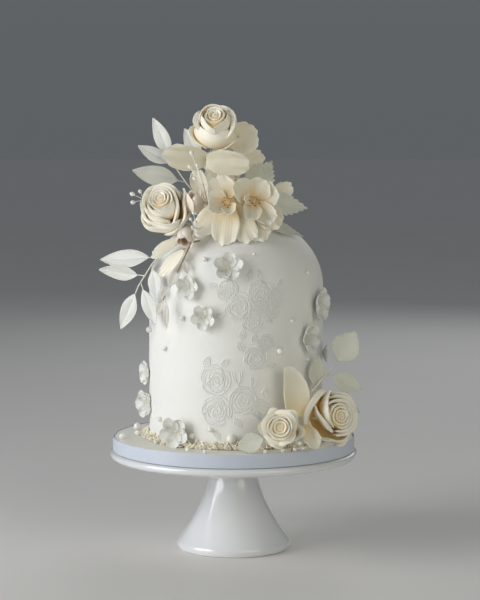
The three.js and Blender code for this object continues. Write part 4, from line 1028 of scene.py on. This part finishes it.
# Loose petals: material, the wire's foot, base, tip, face, width, cup, arch, ruffle, and the rest. The
# petals in shadow take the darker cream paste, which is painted shade.
LOOSE_PETALS = [
    ("petal_top_right", PALE, None, (-6, -6, 426), (25, -8, 436), (0.1, -1, -0.1), 38, 0.1, 0.06, 0,
     {}),
    ("petal_top_left", SHADED_CREAM, (-13, -4, 402), (-27, -10, 409), (-73, -14, 413), (0.08, -0.87, -0.5), 33,
     0.06, -0.1, 2, dict(frill=0.3, neck=0.4)),
    ("petal_top_front", SHADED_CREAM, (-12, -5, 396), (-28, -16, 408), (14, -36, 403), (0.2, -0.9, -0.15), 29,
     0.1, -0.15, 2.4, dict(frill=0.3, neck=0.4, blunt=3)),
    ("petal_top_back", PALE, (-11, -4, 388), (2, -2, 398), (31, 3, 414), (0.1, -1, 0.1), 24, 0.08, 0.05,
     1.2, {}),
    ("petal_middle", PALE, (-21, -20, 350), (-32, -30, 372), (-38, -34, 399), (-0.2, -1, 0.1), 20, 0.12,
     0.08, 0, {}),
    ("petal_right", PALE, (26, -4, 350), (36, -4, 362), (60, 1, 383), (0.1, -1, 0.1), 22, 0.08, 0.08, 1,
     {}),
    ("petal_left_inner", SHADED_CREAM, (-46, -52, 324), (-56, -62, 327), (-84, -56, 311), (-0.1, -0.7, 0.6), 17,
     0.14, -0.08, 0, {}),
    ("petal_left_outer", PALE, (-46, -62, 316), (-50, -72, 318), (-75, -67, 293), (-0.4, -0.8, 0.2), 15,
     0.1, -0.1, 0, {}),
    ("petal_side_left", PALE, (-13, -3, 393), (-19, -1, 394), (-22, 4, 419), (-1, 0.1, 0.1), 26, 0.1,
     0.1, 1.4, {}),
    ("petal_side_right", PALE, (-10, -4, 370), (-2, 3, 371), (2, 10, 396), (1, 0.1, -0.1), 28, 0.1, 0.1,
     1.4, {}),
    ("petal_upright", PALE, (67, -93, 121), (64, -91, 152), (61.5, -90, 203.5), (0.26, -0.97, -0.05),
     30, 0.05, 0.04, 0, dict(neck=0.6, round=0.17, peak=0.6, brim=0.12, frill=0.2, deep=0.9)),
    ("petal_fallen", PALE, (68, -98, 121), (69, -103, 145), (83, -111, 122.5), (0.2, -0.9, 0.3), 19,
     0.3, 0.2, 2.4, dict(deep=1.1)),
]
# Leaves: the wire's foot, base, tip, face, width, teeth
LEAVES = [
    ("leaf_crown_right", (9, -8, 352.5), (16, -12, 372), (40, -2, 407), (0, -1, 0.1), 31, 11),
    ("leaf_right", (20, -10, 350.5), (30, -16, 366), (77, -6, 358), (0.1, -0.9, 0.4), 25, 9),
    ("leaf_shoulder", (26, -38, 341), (30, -44, 348), (71, -36, 330), (0.3, -0.5, 0.8), 21, 10),
    ("leaf_crown_left", (-12, -4, 392), (-36, 2, 408), (-51, 7, 441), (-0.2, -1, 0), 17, 0),
    ("leaf_foot_upright", (76, -54, 174), (84, -62, 178), (86.5, -58, 211.5), (0.4, -0.9, 0), 19, 10),
    ("leaf_foot_front", None, (30, -116, 134), (3, -116, 124), (-0.1, -0.9, 0.4), 20, 9),
    ("leaf_foot_back", (84, -44, 154), (104, -54, 158), (130, -38, 149), (0.4, -0.8, 0.3), 24, 10),
]


def make_blade(name, shape, foot, base, tip, *looks):
    """A loose petal or a leaf, wired to its foot if it has one."""
    if foot:
        wire(shape, foot, array(base) * 0.92 + array(tip) * 0.08)
    piece(name + "_paste", shape, *looks, name)


def make_blades():
    """All the loose petals and single leaves."""
    for i, (name, material, foot, base, tip, face, *form, more) in enumerate(LOOSE_PETALS):
        more = {"deep": 0.35, **more}
        tone = petal_tone(more.pop("deep"), 0.22)
        grid = petal_grid(distance(base, tip), *form, phase=1.3 * i, **more)
        shape = Shape()
        sheet(shape, grid, rim_thin(FLAT), tone, blade_frame(base, tip, face), under=0.7)
        make_blade(name, shape, foot, base, tip, material, "ivory")
    for name, foot, base, tip, face, width, teeth in LEAVES:
        shape = Shape()
        leaf(shape, base, tip, face, width, teeth)
        # Toothed leaves take the darker paste, which is painted shade
        make_blade(name, shape, foot, base, tip, SHADED_SAGE if teeth else WHITE, "white")


# Sprays: the leaves' material, the stem's, the leaves' slot and the stem's course, then the
# leaves, each with the mark of the stem that it grows from, its tip, face, width and teeth
SPRAYS = [
    ("spray_top", WHITE, TAPE, "white",
     [(-17, -12, 352), (-42, -8, 376), (-54, -2, 391), (-64, 5, 406)],
     [(30, (-84, 8, 452), (-0.3, -1, 0.1), 17, 0), (28, (-99.5, 0, 423), (-0.1, -1, 0.3), 15, 0),
      (19, (-104, -26, 398), (-0.55, -1, 0.1), 21, 0)]),
    ("spray_left", WHITE, TAPE, "white",
     [(-40, -48, 331), (-60, -57, 322), (-72, -55, 314), (-82, -52, 304), (-91, -50, 290),
      (-98, -48, 279)],
     [(16, (-137, -30, 306), (-0.1, -0.9, 0.5), 20, 0),
      (25, (-138, -36, 296.5), (-0.1, -0.9, -0.3), 17, 0),
      (30, (-116, -36, 235), (-0.4, -0.9, 0), 17, 0), (28, (-79, -60, 242), (-0.4, -0.9, 0), 15, 0),
      (20, (-77, -66, 270), (-0.4, -0.9, 0), 15, 0)]),
    ("spray_buds", BLUSH, DARK_TAPE, "rosy",
     [(-34, -57, 327), (-42, -68, 325), (-49, -75, 312), (-58, -77, 293), (-66, -76, 278),
      (-71, -74, 268)],
     [(12, (-46, -84, 295), (0.2, -1, 0), 8, 0), (17, (-64, -83, 283), (-0.2, -1, 0), 10, 0),
      (23, (-73, -82, 272), (-0.2, -1, 0), 8, 0), (30, (-77, -76, 254), (-0.2, -1, 0), 8, 0),
      (28, (-67, -82, 240), (-0.2, -1, 0), 6, 0)]),
    ("spray_back", WHITE, TAPE, "white",
     [(-20, 14, 351), (-14, 32, 351), (-2, 49, 348), (12, 60, 343)],
     [(3, (-66, 46, 357), (-0.3, 0.6, 0.8), 27, 11), (12, (-46, 72, 324), (-0.3, 0.8, 0.6), 22, 10),
      (19, (42, 50, 356), (0.3, 0.8, 0.5), 25, 11), (30, (40, 82, 316), (0.4, 0.9, 0.4), 22, 10)]),
    # Its leaves take the darker paste, which is painted shade
    ("spray_right", SHADED_SAGE, TAPE, "white",
     [(75.5, -55, 164), (82, -62, 176), (88, -66, 184), (95, -60, 191), (102, -56, 198)],
     [(30, (125.5, -50, 234.5), (0, -1, 0.1), 29, 13),
      (24, (130.7, -58, 175), (0.1, -0.9, 0.4), 21, 10)]),
]


def make_sprays():
    """Bound stems with stalked leaves."""
    for name, material, tape, slot, course, leaves in SPRAYS:
        marks = smooth_path(course, STEM_MARKS)
        shape, stem = Shape(), Shape()
        for mark, *form in leaves:
            leaf(shape, marks[mark], *form, stalk=0.16)
        tube(stem, marks, linspace(WIRE * 1.1, WIRE * 0.8, STEM_MARKS), 10)
        piece(name + "_leaves", shape, material, slot, name)
        piece(name + "_stem", stem, tape, "white")


# Sprigs of drop buds: the wire's material, its foot, their root, each drop's place and radius
SPRIGS = [
    ("sprig_crown", TAPE, (-22, -30, 348), (-31, -46, 384),
     [(-43, -36, 416, 2.6), (-45, -38, 402, 2.3), (-37, -40, 403, 2.2), (-40, -42, 390, 2.4)]),
    ("sprig_far_left", TAPE, (-62, 6, 331.5), (-93, -2, 367),
     [(-105.8, -7, 373.2, 2.6), (-97.5, -6, 376, 2.2), (-105, -9, 364.3, 2.5)]),
    ("sprig_middle", TAPE, (-33, -50, 333), (-38, -60, 340),
     [(-40, -72, 356, 2), (-43, -75, 350, 2), (-38, -77, 347, 2.2), (-41, -78, 342, 1.8)]),
    ("sprig_foot", DARK_TAPE, (58, -108, 119.8), (59, -109, 123),
     [(66, -119, 130.5, 2.8), (61, -121, 124.5, 2.1), (69, -118, 124.8, 2)]),
]


def drop_profile(length, radius):
    """A thin wire that swells into a drop-shaped bud at its end."""
    thin = 0.45
    body = [
        (radius * sin(pi * s) ** 0.8 * (0.75 + 0.25 * s) + 0.02,
         length - 1.5 * radius + 2.5 * radius * s)
        for s in linspace(0, 1, 14)[1:-1]
    ]
    return [(thin, 0), (thin, length - 1.6 * radius)] + body


def make_sprigs():
    """Drop buds that fan out from one root, which a wire carries."""
    for name, tape, foot, root, drops in SPRIGS:
        shape, stem = Shape(), Shape()
        for *place, radius in drops:
            length = distance(place, root)
            at = facing_frame(root, np.subtract(place, root) / length)
            lathe(shape, drop_profile(length, radius), 16, at=at)
        wire(stem, foot, root, 0.6)
        balls(stem, root, 1.1, 12, 8)
        piece(name + "_buds", shape, WHITE, "white", name)
        piece(name + "_stem", stem, tape, "white")


# ---------- buds and blossoms ----------

# Larger buds: the wire's foot, base, azimuth, elevation, radius, height, petals
BUDS = [
    ("bud_open", (-30, -30, 345.5), (-38, -38, 355.5), -20, 72, 7.5, 22, 4),
    ("bud_rosy", (-38, -53, 330), (-46, -65, 339), -18, -52, 8, 17, 5),
]


def make_bud(name, foot, base, azimuth, elevation, radius, height, petals):
    """Closed petals round a long middle."""
    at = facing_frame(base, direction(azimuth, elevation))
    shape = Shape()
    rim = array([0.88, 0.95, 1.1]) * radius
    for k in range(petals):
        high = array([0.62, 0.86, 1, 0.86, 0.62]) * height * (1 - 0.08 * (k % 2))
        grid, inside, outside = cup_petal(360 * k / petals + 20, 62, rim, high, belly=1.5, foot=1.5,
                                          wave=0.4, phase=k)
        sheet(shape, grid, rim_thin(CUPPED), (0.05 + 0.8 * inside, 0.02 + 0.2 * outside), at)
    balls(shape, (0, 0, 0.35 * height), 0.35 * radius, 12, 9, (1, 1, 2), 1.0, at)
    wire(shape, foot, base, tone=0.6)
    piece(name + "_petals", shape, ROSY, "rosy", name)


# Small blossoms stuck to the icing: azimuth, height, radius, twist, how far they turn away
# from facing straight out, and how far out they sit
BLOSSOMS = [
    (-4.6, 301, 14.5, 10, 0, 0), (-30.5, 281, 12.5, 50, 0, 0), (-20, 252, 12.5, 30, 0, 0),
    (65, 261, 16.5, 5, 0, 0.5), (52, 228, 14, 20, 0, 0.5), (-86, 186, 12.3, 15, 20, 0),
    (-84, 154, 14, 60, 30, 1), (-39, 134, 15.5, 25, 14, 4), (83, 207, 9, 0, 0, 0),
    (150, 292, 13, 0, 0, 0), (171, 232, 12, 30, 0, 0), (-134, 226, 13, 10, 0, 0),
    (-163, 137, 14, 45, 0, 2), (120, 139, 13.5, 5, 0, 2),
]
# The blossom on a wire: the wire's foot, the centre, and the azimuth and elevation it faces
WIRED_BLOSSOM = [(84, -42, 138), (117, -56, 145), (66, 8)]


def make_blossom(name, shape, place, facing, radius, phase, twist=0.0):
    """Five cupped petals with notched tips round a small dimple, darker towards it: partly the eye's
    own colour and partly painted shade.
    """
    at = facing_frame(place, facing, twist)
    u, v = uv(*SMALL)
    for k in range(5):
        grid = petal_grid(radius * 1.1, radius * 1.16, 0.13, 0.34, neck=0.4, round=0.46, blunt=2.6,
                          full=0.6, widest=0.66, frill=0.3, ribs=0.05, phase=phase + 2.1 * k,
                          size=SMALL)
        own = at @ petal_frame(72 * k, 0.8 + 0.25 * (k % 2), 0.2, 10)
        sheet(shape, grid, rim_thin(SMALL, 0.8, 0.5), 0.75 * (1 - u) ** 2, own)
    balls(shape, (0, 0, 1.4), 1.5, 12, 8, (1, 1, 0.6), 0.9, at)
    piece(name + "_petals", shape, WHITE, "white", name)


def make_blossoms():
    """The small blossoms on the icing, and the one on a wire."""
    for i, (azimuth, height, radius, twist, turn, lift) in enumerate(BLOSSOMS, 1):
        place, facing = on_cake(azimuth, height, lift)
        shape = Shape()
        if lift > 1:
            wire(shape, place, on_cake(azimuth, height, 0.2)[0])
        make_blossom(f"blossom_{i}", shape, place, spin(turn)[:3, :3] @ facing, radius, i, twist)
    foot, centre, faces = WIRED_BLOSSOM
    facing = direction(*faces)
    shape = Shape()
    wire(shape, foot, centre + facing)
    make_blossom("blossom_wired", shape, centre, facing, 12, 3)


POSY_PATH = [(-9, -6, 353), (-12, -5, 386), (-14, -1, 425)]
POSY_WIRES, POSY_MARKS = 9, 40


def make_posy_stem():
    """The bound bundle of wires that carries the crown's flowers: the last one is its middle."""
    marks, t = smooth_path(POSY_PATH, POSY_MARKS), linspace(0, 1, POSY_MARKS)
    shape = Shape()
    for k in range(POSY_WIRES):
        turn = 2.4 * t + 2 * pi * k / POSY_WIRES
        out = (5.2 - 3.2 * t) * (k < POSY_WIRES - 1)
        offset = xyz(out * cos(turn), out * sin(turn), 0)
        tube(shape, marks + offset, 1.9 - 0.8 * t, 8, 0.2)
    piece("posy_wires", shape, TAPE, "white", "posy_stem")


# ---------- studio ----------

FLOOR_HALF = 40.0  # metres
# The world's light from above and at the horizon, and how high it stops growing, from 0 to 1
WORLD_LIGHT, HORIZON_LIGHT, HORIZON_END = 0.165, 0.128, 0.3
AIM = array([0, 0, 0.25])  # what the lights point at, in metres
# Soft lights: azimuth, elevation, distance and size in metres, power, colour
LIGHTS = [
    ("window", -66, 16, 1.8, 1.45, 24.4, (0.98, 0.99, 1.0)),
    ("reflector", 36, 15, 2.4, 1.6, 11.6, (1.0, 0.965, 0.8)),
    ("back", 160, 30, 2.4, 1.8, 7.5, (0.97, 0.98, 1.0)),
]


def make_lights():
    """Round soft lights, all pointed at the cake."""
    for name, azimuth, elevation, away, size, power, colour in LIGHTS:
        lamp = bpy.data.lights.new(name, "AREA")
        lamp.shape, lamp.size, lamp.energy, lamp.color = "DISK", size, power, colour
        made = link(name, lamp)
        out = direction(azimuth, elevation)
        made.location = out * away + AIM
        made.rotation_euler = Vector(-out).to_track_quat("-Z", "Y").to_euler()


def make_studio():
    """A pale floor, and a world that is a little darker near the horizon."""
    mesh = bpy.data.meshes.new("floor")
    corners = [(x * FLOOR_HALF, y * FLOOR_HALF, 0) for x, y in ((-1, -1), (1, -1), (1, 1), (-1, 1))]
    mesh.from_pydata(corners, [], [(0, 1, 2, 3)])
    mesh.materials.append(FLOOR)
    link("floor", mesh)
    world = Tree(bpy.data.worlds.new("studio"), "Background")
    split = world.add("SeparateXYZ", Vector=world.places["Generated"])
    rise = world.add("MapRange", Value=split.outputs["Z"], From_Max=HORIZON_END,
                     To_Min=HORIZON_LIGHT, To_Max=WORLD_LIGHT)
    rise.interpolation_type = "SMOOTHSTEP"
    world.feed(world.shader, Color=(0.86, 0.93, 1.0, 1), Strength=rise.outputs["Result"])
    bpy.context.scene.world = world.owner
    bpy.context.scene.view_settings.view_transform = "Standard"


# The camera looks a little down on the cake from the front
CAMERA_PLACE, CAMERA_PITCH = (6.65, -1900, 428), 5.0
CAMERA_LENS, SENSOR_HEIGHT = 109.14, 36  # both in mm


def make_camera():
    lens = bpy.data.cameras.new("camera")
    lens.sensor_fit, lens.sensor_height, lens.lens = "VERTICAL", SENSOR_HEIGHT, CAMERA_LENS
    camera = link("camera", lens)
    camera.location = Vector(CAMERA_PLACE) * MM
    camera.rotation_euler = (radians(90 - CAMERA_PITCH), 0, 0)
    bpy.context.scene.camera = camera


make_stand()
make_board()
make_ribbon()
make_cake()
make_pattern()
make_pearls()
make_border()
make_posy_stem()
for rose in ROSES:
    make_rose(**rose)
for flower in OPEN_FLOWERS:
    make_open_flower(**flower)
make_blades()
make_sprays()
make_sprigs()
for bud in BUDS:
    make_bud(*bud)
make_blossoms()
make_studio()
make_lights()
make_camera()
